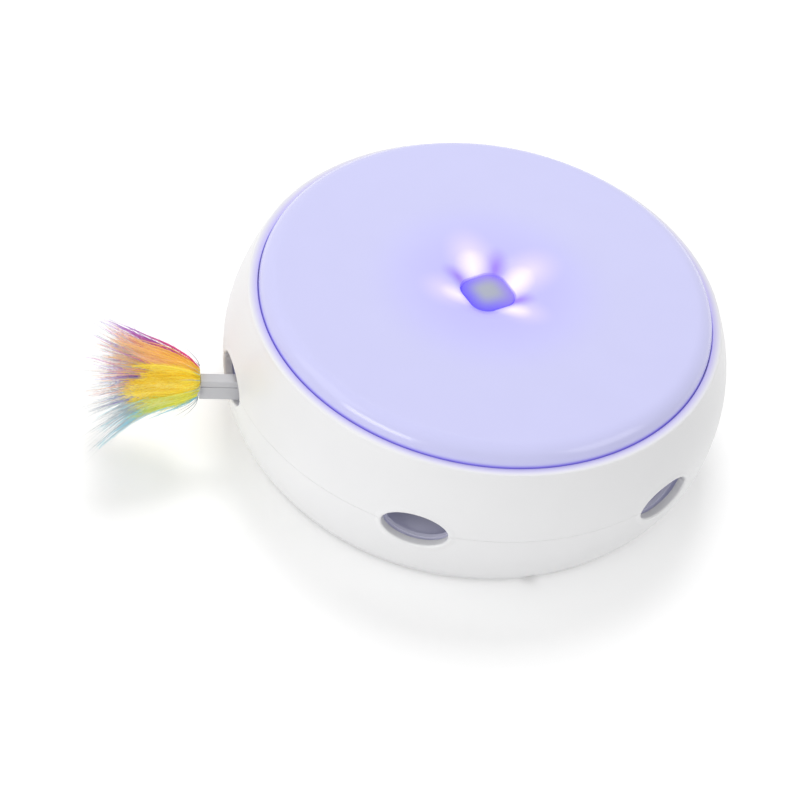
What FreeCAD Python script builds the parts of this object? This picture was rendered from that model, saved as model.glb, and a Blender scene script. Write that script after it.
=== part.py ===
import FreeCAD, Part
import math
import os

V = FreeCAD.Vector

# Automatic cat toy: a low round casing with six oval windows, a lit cover with a button,
# and inside it a turret that carries a feather on a rack-driven arm.
# Millimetres, +Z up. The origin is on the casing's axis, on the floor under the feet.
# The arm points along -X.

# Casing outline, built outwards from the cover's edge
cover_radius = 77.8
cover_gap = 0.35
rim_land = 2.95
body_reach = 6.4
base_set_in = 9.5
belt_z = 30.4
lower_bulge = 2.75
rim_z = 55.6
upper_bulge = 1.8
casing_wall = 2.6
floor_thickness = 2.2
base_corner = 1.5
lip_height = 1.6
lip_thickness = 1.1
fit_gap = 0.1

# Windows
window_count = 6
window_turn = 10.1
window_z = 29.8
window_half_width = 11.3
window_half_height = 6.6
window_bevel = 0.6

# Window liner
liner_thickness = 1.4
liner_gap = 0.45
liner_low = 21.0
liner_high = 39.0
liner_floor_gap = 1.5
liner_rib_count = 6
liner_rib_width = 2.0
liner_rib_reach = 1.5

# Cover and button
cover_rounding = 6.2
cover_wall = 2.2
cover_skirt = 5.0
ledge_thickness = 2.0
ledge_width = 9.0
button_turn = window_turn + 15.0
button_size = 16.5
button_corner = 5.5
button_sunk = 2.3
button_dome = 1.0
button_cap = 1.8
button_skirt = 1.2
button_travel = 0.6
button_gap = 0.35
button_flange = 1.3
flange_thickness = 0.8
well_wall = 1.4
well_mouth = 0.3
dish_reach = 8.6
dish_depth = 3.0
dish_margin = 1.5

# Light tray, board, lamps and switch
tray_thickness = 1.2
tray_gap = 0.4
board_thickness = 1.4
led_board_radius = 24.0
tray_boss_radius = 2.5
tray_boss_height = 0.8
tray_boss_circle = 21.0
lamp_size = 5.0
lamp_height = 1.6
lamp_circle = 13.4
lamp_count = 4
switch_size = 6.0
plunger_radius = 1.7
plunger_stands_out = 0.8

# Feet and base
foot_radius = 6.0
foot_height = 1.0
foot_recess = 0.8
foot_circle = 62.0
foot_count = 4

# Screws that close the casing
casing_screw_count = 3
casing_screw_inset = 10.5
casing_screw_turn = 40.1
boss_radius = 3.6
screw_radius = 1.4
screw_head_radius = 2.5
screw_head_height = 1.8
screw_play = 0.3
thread_gap = 0.02
casing_screw_length = 15.0
boss_overlap = 0.4

# Batteries
cell_radius = 5.25
cell_length = 43.7
nub_radius = 1.9
nub_length = 0.8
cell_count = 4
cell_gap = 0.7
cell_clearance = 0.25
battery_y = 39.0
box_wall = 1.6
door_thickness = 2.0
door_gap = 0.3
door_ledge = 1.8
door_ledge_height = 1.2
door_margin = 2.0
door_tab = 9.0
contact_thickness = 0.5
contact_height = 9.0
spring_length = 2.8
leaf_thickness = 0.35
leaf_width = 5.0
leaf_half_height = 4.2
leaf_foot = 1.0
leaf_crest = 1.0

# Deck
deck_headroom = 1.05
deck_thickness = 2.0
deck_margin = 7.0
deck_post_circle = 64.0
deck_post_radius = 3.5
deck_post_turns = (30.0, 150.0, 210.0, 330.0)
pivot_radius = 6.0
deck_screw_length = 7.0

# Turret
bush_wall = 1.0
bush_flange = 0.8
bush_flange_radius = 9.0
running_gap = 0.05
hub_wall = 2.5
hub_above = 2.0
turret_thickness = 2.0
turret_radius = 68.0
pivot_play = 0.2
pivot_washer = 0.8

# Gears
pressure_angle = 25.0
addendum = 0.8
dedendum = 1.05
backlash = 0.12
ring_module = 0.8
ring_teeth = 72
ring_thickness = 3.2
idler_pinion_teeth = 12
fine_module = 0.5
idler_wheel_teeth = 40
motor_pinion_teeth = 12
idler_float = 0.4
idler_wheel_thickness = 2.0
idler_turn = -90.0
rack_module = 0.8
rack_pinion_teeth = 16
drive_wheel_teeth = 44
drive_wheel_thickness = 2.4
gear_pin_radius = 1.0
gear_neck_radius = 2.6
clip_thickness = 0.5
clip_radius = 2.2

# Motors
turret_motor_radius = 12.2
turret_motor_height = 11.0
motor_shaft_radius = 0.75
arm_motor_width = 12.0
arm_motor_depth = 10.0
arm_motor_height = 15.0
arm_motor_corner = 2.5
arm_shaft_radius = 0.5
motor_boss_radius = 2.0
motor_boss_height = 0.8
bracket_wall = 1.2
bracket_foot = 8.0

# Arm and its guide
arm_offset = 19.45
arm_width = 4.2
arm_height = 8.6
arm_edge = 0.6
arm_line_drop = 2.3
arm_line_height = 0.5
arm_line_depth = 0.25
arm_float = 0.1
arm_travel = 58.0
arm_front = 96.5
rack_pinion_x = -16.0
rack_spare = 4.0
rack_inset = 0.8
rack_height = 6.4
arm_tail = 4.0
guide_gap = 0.25
guide_wall = 1.8
guide_front = -36.0
cap_thickness = 1.2
cap_gap = 0.2
lug_radius = 2.4
lug_places = (-31.0, 8.0, 47.0)
small_screw_radius = 0.9
small_head_radius = 1.7
small_head_height = 1.0

# Feather
ferrule_radius = 3.4
ferrule_length = 5.0
ferrule_wall = 0.8
quill_radius = 1.2
quill_grip = 4.0
tuft_gap = 0.3
tuft_root_radius = 5.6
tuft_neck = 9.0
tuft_neck_radius = 7.6
tuft_middle = 22.0
tuft_middle_radius = 12.6
tuft_shoulder = 35.0
tuft_tip_radius = 25.0
tuft_length = 41.0
tuft_crown_flat = 1.0

# Small boards and switches
main_board_size = (34.0, 24.0)
main_board_centre = (-32.0, -36.0)
main_board_thickness = 1.6
main_board_lift = 3.0
board_post_radius = 2.2
board_screw_inset = 3.0
board_notch_gap = 0.6
home_switch_size = (6.0, 3.2, 6.5)
home_switch_gap = 0.5
home_switch_lever = 0.8

# Radii worked out from the above
rim_radius = cover_radius + cover_gap + rim_land
body_radius = rim_radius + body_reach
base_edge_radius = body_radius - base_set_in
casing_screw_circle = body_radius - casing_screw_inset
deck_radius = deck_post_circle + deck_margin

# Heights worked out from the above
over = 1.0
base_z = foot_height
floor_top = base_z + floor_thickness
cell_z = floor_top + cell_clearance + cell_radius
deck_low = cell_z + cell_radius + deck_headroom
deck_top = deck_low + deck_thickness
arm_low = window_z - arm_height / 2
arm_top = window_z + arm_height / 2
turret_top = arm_low - arm_float
turret_low = turret_top - turret_thickness
hub_low = deck_top + bush_flange
hub_high = turret_top + hub_above
ring_low = turret_low - ring_thickness
idler_low = deck_top + idler_float
idler_step = idler_low + idler_wheel_thickness
idler_high = turret_low - idler_float
pivot_high = hub_high + pivot_play
plateau_z = rim_z + cover_rounding
dish_z = plateau_z - dish_depth
dish_round = (dish_reach ** 2 + dish_depth ** 2) / (2 * dish_depth)
dish_low = plateau_z - dish_round - 1.0
ledge_z = rim_z - cover_skirt
ledge_radius = cover_radius + cover_gap - ledge_width
tray_z = ledge_z + tray_thickness
led_board_low = tray_z + tray_boss_height
led_board_top = led_board_low + board_thickness
button_top = plateau_z - button_sunk
button_under = button_top - button_cap
flange_low = led_board_top + button_travel + 1.0
flange_top = flange_low + flange_thickness
well_low = flange_top + fit_gap
bush_outer = pivot_radius + running_gap + bush_wall
hub_radius = bush_outer + hub_wall
motor_top = turret_top + arm_motor_height
bracket_top = motor_top + bracket_wall
drive_wheel_low = bracket_top + 0.6
drive_wheel_high = drive_wheel_low + drive_wheel_thickness
guide_top = arm_top + cap_gap
cap_top = guide_top + cap_thickness

# Places worked out from the above
ring_pitch = ring_module * ring_teeth / 2
idler_pinion_pitch = ring_module * idler_pinion_teeth / 2
idler_wheel_pitch = fine_module * idler_wheel_teeth / 2
motor_pinion_pitch = fine_module * motor_pinion_teeth / 2
idler_circle = ring_pitch + idler_pinion_pitch
turret_motor_circle = idler_circle + idler_wheel_pitch + motor_pinion_pitch
rack_pinion_pitch = rack_module * rack_pinion_teeth / 2
drive_wheel_pitch = fine_module * drive_wheel_teeth / 2
arm_y = -arm_offset
rack_face_y = arm_y + arm_width / 2
rack_pitch_y = rack_face_y + dedendum * rack_module
rack_tip_y = rack_pitch_y + addendum * rack_module
rack_pinion_y = rack_pitch_y + rack_pinion_pitch
arm_motor_y = rack_pinion_y + drive_wheel_pitch + motor_pinion_pitch
rack_front = rack_pinion_x - arm_travel - rack_spare
rack_back = rack_pinion_x + rack_spare
arm_back = rack_back + arm_tail
home_switch_x = arm_back + arm_travel + home_switch_gap
guide_back = home_switch_x + home_switch_lever + home_switch_size[0] + home_switch_gap + guide_wall
rack_low = arm_low + rack_inset
rack_high = rack_low + rack_height
bay_half_length = cell_length / 2 + nub_length / 2 + spring_length / 2 + contact_thickness
cell_pitch = 2 * cell_radius + cell_gap
bay_half_width = cell_count * cell_pitch / 2 + cell_gap
bay_top = cell_z + cell_radius + deck_headroom / 2


def turned_xy(radius, angle):
    """A point at a radius and an angle in degrees."""
    return radius * math.cos(math.radians(angle)), radius * math.sin(math.radians(angle))


idler_x, idler_y = turned_xy(idler_circle, idler_turn)
turret_motor_x, turret_motor_y = turned_xy(turret_motor_circle, idler_turn)


def cyl(radius, low, high, x=0.0, y=0.0):
    """Upright cylinder between two heights."""
    return Part.makeCylinder(radius, high - low, V(x, y, low))


def tube(outer, inner, low, high, x=0.0, y=0.0):
    """Upright tube between two heights."""
    return cyl(outer, low, high, x, y).cut(cyl(inner, low - over, high + over, x, y))


def block(x_span, y_span, z_span):
    """Box between two corners, given as a low and a high value each way."""
    size = [high - low for low, high in (x_span, y_span, z_span)]
    return Part.makeBox(size[0], size[1], size[2], V(x_span[0], y_span[0], z_span[0]))


def centred(x, y, width, depth, low, high):
    """Box about an upright line."""
    return block((x - width / 2, x + width / 2), (y - depth / 2, y + depth / 2), (low, high))


def turned(shape, angle):
    """A copy turned about the casing's axis."""
    copy = shape.copy()
    copy.rotate(V(0, 0, 0), V(0, 0, 1), angle)
    return copy


def moved(shape, x, y, z):
    """A copy moved without turning."""
    copy = shape.copy()
    copy.translate(V(x, y, z))
    return copy


def joined(shapes):
    """One solid from several."""
    return shapes[0].fuse(shapes[1:]).removeSplitter()


def minus(shape, tools):
    """A solid with several tools cut from it."""
    return shape.cut(tools)


def spun(edges):
    """Solid of revolution about the Z axis from the edges of a closed outline."""
    face = Part.Face(Part.Wire(edges))
    return face.revolve(V(0, 0, 0), V(0, 0, 1), 360)


def lines(points):
    """Straight edges through points given as radius and height."""
    corners = [V(r, 0, z) for r, z in points]
    return [Part.makeLine(a, b) for a, b in zip(corners, corners[1:])]


def outer_radius(z):
    """The casing's outside radius at a height."""
    if z > belt_z:
        share = (z - belt_z) / (rim_z - belt_z)
        return body_radius - (body_radius - rim_radius) * share ** upper_bulge
    share = (belt_z - z) / (belt_z - base_z)
    return body_radius - (body_radius - base_edge_radius) * share ** lower_bulge


def wall_curve(low, high, inset):
    """The casing's side from one height to another, set in from the outside."""
    count = 9
    points = []
    for i in range(count):
        z = low + (high - low) * i / (count - 1)
        points.append(V(outer_radius(z) - inset, 0, z))
    curve = Part.BSplineCurve()
    curve.interpolate(points)
    return curve.toShape()


def rounded_square(size, corner, low, high):
    """Upright prism with a rounded square section, turned as the button is."""
    box = centred(0, 0, size, size, low, high)
    upright = [e for e in box.Edges if abs(e.Vertexes[0].Z - e.Vertexes[-1].Z) > (high - low) / 2]
    return turned(box.makeFillet(corner, upright), button_turn)


def oval_prism(half_width, half_height, near, far):
    """Prism along X with an oval section, between two distances."""
    major = V(near, half_width, window_z)
    minor = V(near, 0, window_z + half_height)
    curve = Part.Ellipse(major, minor, V(near, 0, window_z))
    face = Part.Face(Part.Wire(curve.toShape()))
    return face.extrude(V(far - near, 0, 0))


def oval_flare(near, far, near_extra, far_extra):
    """Flared prism along X that widens the window by two amounts."""
    wires = []
    for distance, extra in ((near, near_extra), (far, far_extra)):
        major = V(distance, window_half_width + extra, window_z)
        minor = V(distance, 0, window_z + window_half_height + extra)
        wires.append(Part.Wire(Part.Ellipse(major, minor, V(distance, 0, window_z)).toShape()))
    return Part.makeLoft(wires, True, True)


def window_angles():
    """Directions of the windows, the first one where the arm comes out."""
    return [180 + window_turn + i * 360 / window_count for i in range(window_count)]


def window_tools():
    """Cutting tools for the windows, with their bevels."""
    straight = oval_prism(window_half_width, window_half_height, body_radius - 12, body_radius + 5)
    reach = 3.0
    flare = oval_flare(body_radius - window_bevel - 0.4, body_radius + reach, 0.0, reach + window_bevel + 0.4)
    tool = straight.fuse(flare)
    return [turned(tool, angle) for angle in window_angles()]


def ring_places(count, circle, start):
    """Points spread evenly on a circle."""
    return [turned_xy(circle, start + i * 360 / count) for i in range(count)]


def pan_screw(radius, head_radius, head_height, length, x, y, seat, down=True):
    """Screw with a domed head on its seat; its shank goes down, or up."""
    head = cyl(head_radius, 0, head_height)
    head = head.makeFillet(head_height * 0.45, [head.Edges[0]])
    slot = joined([centred(0, 0, head_radius, head_radius * 0.25, head_height / 2, head_height + over),
                   centred(0, 0, head_radius * 0.25, head_radius, head_height / 2, head_height + over)])
    screw = joined([head.cut(slot), cyl(radius, -length, 0)])
    if not down:
        screw.rotate(V(0, 0, 0), V(1, 0, 0), 180)
    return moved(screw, x, y, seat)


def casing_screw_places():
    """Centres of the screws that close the casing."""
    return ring_places(casing_screw_count, casing_screw_circle, casing_screw_turn)


def deck_post_places():
    """Centres of the posts that carry the deck."""
    return [turned_xy(deck_post_circle, angle) for angle in deck_post_turns]


def foot_places():
    """Centres of the feet."""
    return ring_places(foot_count, foot_circle, 45)


def main_board_posts():
    """Centres of the main board's two screws."""
    width, depth = main_board_size
    x, y = main_board_centre
    dx = width / 2 - board_screw_inset
    dy = depth / 2 - board_screw_inset
    return [(x - dx, y - dy), (x + dx, y + dy)]


screw_seat = belt_z - lip_height - 8.0
door_half_x = bay_half_length + box_wall + door_margin
door_low_y = battery_y - bay_half_width - door_margin
door_high_y = battery_y + bay_half_width + door_margin
door_screw_x = 0.0
door_screw_y = door_low_y - door_tab / 2


def door_outline(spread, low, high):
    """The battery door's plate with its screw tab, made larger all round by a gap."""
    plate = block((-door_half_x - spread, door_half_x + spread),
                  (door_low_y - spread, door_high_y + spread), (low, high))
    tab = centred(door_screw_x, door_low_y - door_tab / 4, door_tab + 2 * spread,
                  door_tab / 2 + 2 * spread, low, high)
    end = cyl(door_tab / 2 + spread, low, high, door_screw_x, door_screw_y)
    return joined([plate, tab, end])


def lower_casing():
    """White shell below the belt, with floor, bosses, battery box and liner shelf."""
    corner_z = base_z + base_corner
    corner_r = outer_radius(corner_z)
    flat_r = corner_r - base_corner
    bend = base_corner * (1 - math.cos(math.radians(45)))
    lip_r = body_radius - casing_wall + lip_thickness
    inside = body_radius - casing_wall
    edges = lines([(0, base_z), (flat_r, base_z)])
    edges.append(Part.Arc(V(flat_r, 0, base_z), V(corner_r - bend, 0, base_z + bend),
                          V(corner_r, 0, corner_z)).toShape())
    edges.append(wall_curve(corner_z, belt_z, 0))
    edges += lines([(body_radius, belt_z), (lip_r, belt_z), (lip_r, belt_z + lip_height),
                    (inside, belt_z + lip_height), (inside, belt_z)])
    edges.append(wall_curve(belt_z, floor_top, casing_wall))
    edges += lines([(outer_radius(floor_top) - casing_wall, floor_top), (0, floor_top), (0, base_z)])
    shell = spun(edges)
    shelf_high = liner_low - fit_gap
    shelf = tube(outer_radius(shelf_high) - casing_wall + 0.3, liner_inner() - 0.6,
                 shelf_high - 1.6, shelf_high)
    gussets = [shelf]
    for angle in window_angles():
        gusset = block((liner_inner() - 0.6, outer_radius(shelf_high - 6) - casing_wall + 0.6), (-1, 1),
                       (shelf_high - 6.5, shelf_high - 1.0))
        gussets.append(turned(gusset, angle))
    bosses = [cyl(boss_radius, floor_top - boss_overlap, belt_z - fit_gap / 2, x, y)
              for x, y in casing_screw_places()]
    posts = [cyl(deck_post_radius, floor_top - boss_overlap, deck_low, x, y) for x, y in deck_post_places()]
    posts += [cyl(board_post_radius, floor_top - boss_overlap, floor_top + main_board_lift, x, y)
              for x, y in main_board_posts()]
    bay_out = block((-bay_half_length - box_wall, bay_half_length + box_wall),
                    (battery_y - bay_half_width - box_wall, battery_y + bay_half_width + box_wall),
                    (floor_top - boss_overlap, bay_top))
    ledge = door_outline(door_ledge, floor_top - boss_overlap,
                         base_z + door_thickness + fit_gap + door_ledge_height)
    screw_boss = cyl(door_tab / 2 + door_ledge, floor_top - boss_overlap, floor_top + 6,
                     door_screw_x, door_screw_y)
    body = joined([shell] + gussets + bosses + posts + [bay_out, ledge, screw_boss])
    bay_in = block((-bay_half_length, bay_half_length),
                   (battery_y - bay_half_width, battery_y + bay_half_width),
                   (base_z - over, bay_top + over))
    cuts = [door_outline(door_gap, base_z - over, base_z + door_thickness + fit_gap), bay_in]
    for x, y in casing_screw_places():
        cuts.append(cyl(screw_radius + screw_play, base_z - over, belt_z + over, x, y))
        cuts.append(cyl(screw_head_radius + screw_play, base_z - over, screw_seat, x, y))
    for x, y in deck_post_places():
        cuts.append(cyl(screw_radius + thread_gap, floor_top + 1.0, deck_low + over, x, y))
    for x, y in main_board_posts():
        cuts.append(cyl(small_screw_radius + thread_gap, floor_top, floor_top + main_board_lift + over, x, y))
    cuts.append(cyl(screw_radius + thread_gap, base_z, floor_top + 5.2, door_screw_x, door_screw_y))
    cuts += [cyl(foot_radius + fit_gap, base_z - over, base_z + foot_recess, x, y) for x, y in foot_places()]
    return minus(body, cuts + window_tools())


def liner_outer():
    """Outside radius of the window liner."""
    return min(outer_radius(liner_low), outer_radius(liner_high)) - casing_wall - liner_gap


def liner_inner():
    """Inside radius of the window liner."""
    return liner_outer() - liner_thickness


def upper_casing():
    """White shell above the belt, with the rim that takes the cover and the ledge under it."""
    recess = cover_radius + cover_gap
    inside = body_radius - casing_wall
    rebate = inside + lip_thickness + fit_gap
    ledge_under = ledge_z - ledge_thickness
    rim_round = 0.8
    bend = rim_round * (1 - math.cos(math.radians(45)))
    rim_start = rim_z - rim_round
    rim_flat = outer_radius(rim_start) - rim_round
    edges = lines([(rebate, belt_z), (body_radius, belt_z)])
    edges.append(wall_curve(belt_z, rim_start, 0))
    edges.append(Part.Arc(V(outer_radius(rim_start), 0, rim_start),
                          V(outer_radius(rim_start) - bend, 0, rim_z - bend),
                          V(rim_flat, 0, rim_z)).toShape())
    edges += lines([(rim_flat, rim_z), (recess, rim_z), (recess, ledge_z), (ledge_radius, ledge_z),
                    (ledge_radius, ledge_under), (outer_radius(ledge_under) - casing_wall, ledge_under)])
    lip_top = belt_z + lip_height + fit_gap
    edges.append(wall_curve(ledge_under, lip_top, casing_wall))
    edges += lines([(outer_radius(lip_top) - casing_wall, lip_top), (rebate, lip_top), (rebate, belt_z)])
    shell = spun(edges)
    parts = [shell]
    top_inside = outer_radius(ledge_under) - casing_wall
    for x, y in casing_screw_places():
        parts.append(cyl(boss_radius, belt_z + fit_gap / 2, ledge_under + boss_overlap, x, y))
    for i in range(liner_rib_count):
        rib = block((min(liner_inner(), top_inside) - liner_rib_reach, top_inside + casing_wall * 0.6),
                    (-liner_rib_width / 2, liner_rib_width / 2),
                    (liner_high + fit_gap, ledge_under + boss_overlap))
        parts.append(turned(rib, 180 + window_turn + (i + 0.35) * 360 / liner_rib_count))
    body = joined(parts)
    pilot_top = screw_seat + casing_screw_length + over
    cuts = [cyl(screw_radius + thread_gap, belt_z - over, pilot_top, x, y) for x, y in casing_screw_places()]
    return minus(body, cuts + window_tools())


def window_liner():
    """Ring wall behind the windows, with openings that match them, and a floor out to it."""
    ring = tube(liner_outer(), liner_inner(), liner_low, liner_high)
    floor = tube(liner_outer(), turret_radius + liner_floor_gap, liner_low, liner_low + liner_thickness)
    straight = oval_prism(window_half_width, window_half_height, liner_inner() - 12, liner_outer() + 5)
    cuts = [turned(straight, angle) for angle in window_angles()]
    for x, y in casing_screw_places():
        cuts.append(cyl(boss_radius + liner_gap, liner_low - over, liner_high + over, x, y))
    return minus(joined([ring, floor]), cuts)


def top_cover():
    """Milky cover with a rounded edge, a skirt and a square well for the button."""
    bend = math.cos(math.radians(45))
    inner_round = cover_rounding - cover_wall
    inner_radius = cover_radius - cover_wall
    flat = cover_radius - cover_rounding
    under = plateau_z - cover_wall
    edges = lines([(0, plateau_z), (flat, plateau_z)])
    edges.append(Part.Arc(V(flat, 0, plateau_z),
                          V(flat + cover_rounding * bend, 0, rim_z + cover_rounding * bend),
                          V(cover_radius, 0, rim_z)).toShape())
    edges += lines([(cover_radius, rim_z), (cover_radius, ledge_z),
                    (inner_radius, ledge_z), (inner_radius, rim_z)])
    edges.append(Part.Arc(V(inner_radius, 0, rim_z),
                          V(flat + inner_round * bend, 0, rim_z + inner_round * bend),
                          V(flat, 0, under)).toShape())
    edges += lines([(flat, under), (0, under), (0, plateau_z)])
    centre = rounded_square(dish_size() + 2 * dish_margin, dish_corner() + dish_margin,
                            under - over, plateau_z + over)
    shell = joined([spun(edges).cut(centre), dish()])
    hole = button_size + 2 * button_gap
    corner = button_corner + button_gap
    well = rounded_square(hole + 2 * well_wall, corner + well_wall, well_low, dish_z - cover_wall / 2)
    body = joined([shell, well]).cut(rounded_square(hole, corner, dish_low - over, plateau_z + over))
    mouth = [e for e in body.Edges
             if abs(e.BoundBox.ZMin - dish_z) < 1e-4 and abs(e.BoundBox.ZMax - dish_z) < 1e-4]
    return body.makeFillet(well_mouth, mouth)


def dish_size():
    """Side of the rounded square where the dish meets the flat top."""
    return button_size + 2 * (button_gap + dish_reach)


def dish_corner():
    """Corner radius of the same rounded square."""
    return button_corner + button_gap + dish_reach


def dish():
    """Middle of the cover, which dips to the button in one large rounding of even thickness."""
    slab = rounded_square(dish_size() + 2 * dish_margin, dish_corner() + dish_margin, dish_low, plateau_z)
    hole = rounded_square(dish_size() - 2 * dish_round, dish_corner() - dish_round,
                          dish_low - over, plateau_z + over)
    slab = slab.cut(hole)
    rim = [e for e in slab.Edges
           if e.BoundBox.ZMin > plateau_z - 1e-4
           and abs(e.CenterOfMass.x) + abs(e.CenterOfMass.y) < dish_reach]
    slab = slab.makeFillet(dish_round, rim)
    lower = slab.copy()
    lower.translate(V(0, 0, -cover_wall))
    return slab.cut(lower)


def push_button():
    """Domed button with a skirt and a flange that keeps it under the cover."""
    half = button_size / 2
    dome_radius = (half ** 2 + button_dome ** 2) / (2 * button_dome)
    dome = Part.makeSphere(dome_radius, V(0, 0, button_top - dome_radius))
    cap = rounded_square(button_size, button_corner, flange_low, button_top + over).common(dome)
    flange = rounded_square(button_size + 2 * button_flange, button_corner + button_flange,
                            flange_low, flange_top)
    body = joined([cap, flange])
    hollow = rounded_square(button_size - 2 * button_skirt, button_corner - button_skirt,
                            flange_low - over, button_under)
    return body.cut(hollow)


def light_reflector():
    """White tray under the cover, with bosses for the lamp board."""
    disc = cyl(cover_radius - cover_wall - tray_gap, ledge_z, tray_z)
    bosses = [cyl(tray_boss_radius, tray_z - 0.2, led_board_low, x, y)
              for x, y in ring_places(lamp_count, tray_boss_circle, button_turn + 45)]
    return joined([disc] + bosses)


def led_board():
    """Round board that carries the lamps and the switch."""
    return cyl(led_board_radius, led_board_low, led_board_top)


def led_lamps():
    """Four square lamps, one at each flat side of the button."""
    lamps = []
    body = centred(lamp_circle, 0, lamp_size, lamp_size, led_board_top, led_board_top + lamp_height)
    lens = cyl(lamp_size * 0.38, led_board_top + lamp_height - 0.2, led_board_top + lamp_height + 0.3,
               lamp_circle, 0)
    lamp = joined([body, lens])
    for i in range(lamp_count):
        lamps.append(turned(lamp, button_turn + i * 360 / lamp_count))
    return lamps


def tact_switch():
    """Body of the push switch, with the hole that its plunger slides in."""
    top = button_under - plunger_stands_out
    body = centred(0, 0, switch_size, switch_size, led_board_top, top)
    collar = cyl(plunger_radius + 0.6, top - 0.2, top + 0.1)
    hole = cyl(plunger_radius + running_gap, top - 1.6, top + over)
    return joined([body, collar]).cut(hole)


def switch_plunger():
    """Plunger that the button pushes."""
    return cyl(plunger_radius, button_under - plunger_stands_out - 0.7, button_under)


def rubber_feet():
    """Feet in their recesses."""
    feet = []
    for x, y in foot_places():
        foot = cyl(foot_radius, 0, base_z + foot_recess, x, y)
        low = [e for e in foot.Edges if e.BoundBox.ZMax < 1e-4]
        feet.append(foot.makeFillet(0.5, low))
    return feet


def casing_screws():
    """Screws driven up from below, that close the casing."""
    return [pan_screw(screw_radius, screw_head_radius, screw_head_height, casing_screw_length,
                      x, y, screw_seat, False)
            for x, y in casing_screw_places()]


def battery_door():
    """Door plate with its screw tab."""
    plate = door_outline(0, base_z, base_z + door_thickness)
    hole = cyl(screw_radius + screw_play, 0, floor_top + over, door_screw_x, door_screw_y)
    sink = cyl(screw_head_radius + screw_play, 0, base_z + screw_head_height * 0.6,
               door_screw_x, door_screw_y)
    finger = block((-5, 5), (door_high_y - 4.5, door_high_y - 2.5), (0, base_z + 0.8))
    return minus(plate, [hole, sink, finger])


def door_screw():
    """Screw that holds the door's tab."""
    seat = base_z + screw_head_height * 0.6
    return [pan_screw(screw_radius, screw_head_radius, screw_head_height * 0.55, 6.0,
                      door_screw_x, door_screw_y, seat, False)]


def cell_rows():
    """Each cell's place across the bay, and the way its positive end points."""
    rows = []
    for i in range(cell_count):
        y = battery_y + (i - (cell_count - 1) / 2) * cell_pitch
        rows.append((y, 1 if i % 2 == 0 else -1))
    return rows


def battery_cells():
    """Four cells side by side, each with its nub against a contact."""
    cells = []
    for y, way in cell_rows():
        end = way * (bay_half_length - contact_thickness)
        nub = Part.makeCylinder(nub_radius, nub_length + 0.2, V(end, y, cell_z), V(-way, 0, 0))
        start = end - way * nub_length
        body = Part.makeCylinder(cell_radius, cell_length, V(start, y, cell_z), V(-way, 0, 0))
        body = body.makeFillet(0.5, [e for e in body.Edges if len(e.Vertexes) == 1])
        cells.append(joined([body, nub]))
    return cells


def contact_plates():
    """Contact plates at both ends of the bay."""
    plates = []
    for side in (-1, 1):
        for y, way in cell_rows():
            near = side * (bay_half_length - contact_thickness)
            far = side * bay_half_length
            plates.append(block((min(near, far), max(near, far)),
                                (y - cell_pitch / 2 + 0.4, y + cell_pitch / 2 - 0.4),
                                (cell_z - contact_height / 2, cell_z + contact_height / 2)))
    return plates


def leaf_outline():
    """Bowed leaf seen from its edge, as reach and height."""
    foot = leaf_half_height - leaf_foot
    slant = 0.2
    outside = [(0, leaf_half_height), (leaf_thickness, leaf_half_height), (leaf_thickness, foot),
               (spring_length, leaf_crest)]
    inside = [(spring_length - leaf_thickness, leaf_crest - slant), (0, foot - slant)]
    lower = [(reach, -height) for reach, height in outside[::-1] + inside[::-1]]
    return outside + lower + inside


def contact_springs():
    """Leaf springs against the flat ends of the cells."""
    springs = []
    for y, way in cell_rows():
        start = -way * (bay_half_length - contact_thickness)
        corners = [V(start + way * reach, y - leaf_width / 2, cell_z + height)
                   for reach, height in leaf_outline()]
        face = Part.Face(Part.makePolygon(corners + corners[:1]))
        springs.append(face.extrude(V(0, leaf_width, 0)))
    return springs


def main_board():
    """Control board on its posts."""
    width, depth = main_board_size
    x, y = main_board_centre
    low = floor_top + main_board_lift
    board = centred(x, y, width, depth, low, low + main_board_thickness)
    cuts = [cyl(small_screw_radius + screw_play, low - over, low + 3, px, py)
            for px, py in main_board_posts()]
    cuts += [cyl(deck_post_radius + board_notch_gap, low - over, low + 3, px, py)
             for px, py in deck_post_places()]
    return minus(board, cuts)


def board_parts():
    """Controller, capacitor, connector and driver on the control board."""
    x, y = main_board_centre
    top = floor_top + main_board_lift + main_board_thickness
    return [centred(x, y + 1, 9.0, 7.0, top, top + 1.6),
            cyl(2.5, top, top + 5.5, x + 10, y - 6),
            centred(x - 10, y + 7, 8.0, 4.5, top, top + 4.5),
            centred(x + 4, y - 8, 5.0, 4.0, top, top + 1.5)]


def board_screws():
    """Screws of the control board."""
    seat = floor_top + main_board_lift + main_board_thickness
    return [pan_screw(small_screw_radius, small_head_radius, small_head_height, 4.2, x, y, seat)
            for x, y in main_board_posts()]


def chassis_deck():
    """Plate over the batteries that carries the turret on its post."""
    plate = cyl(deck_radius, deck_low, deck_top)
    post = cyl(pivot_radius, deck_low, pivot_high)
    deck = joined([plate, post])
    cuts = [cyl(screw_radius + thread_gap, deck_low + 2.5, pivot_high + over)]
    cuts += [cyl(screw_radius + screw_play, deck_low - over, deck_top + over, x, y)
             for x, y in deck_post_places()]
    cuts.append(cyl(motor_pinion_pitch + 0.9, deck_low - over, deck_top + over,
                    turret_motor_x, turret_motor_y))
    cuts.append(cyl(gear_pin_radius + thread_gap, deck_low - 2, deck_top + over, idler_x, idler_y))
    for x, y in casing_screw_places():
        cuts.append(cyl(boss_radius + 1.0, deck_low - over, deck_top + over, x, y))
    for side in (-1, 1):
        cuts.append(cyl(small_screw_radius + screw_play, deck_low - over, deck_top + over,
                        turret_motor_x + side * turret_motor_radius * 0.62, turret_motor_y))
    return minus(deck, cuts)


def deck_screws():
    """Screws of the deck."""
    return [pan_screw(screw_radius, screw_head_radius, screw_head_height, deck_screw_length, x, y, deck_top)
            for x, y in deck_post_places()]


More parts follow.
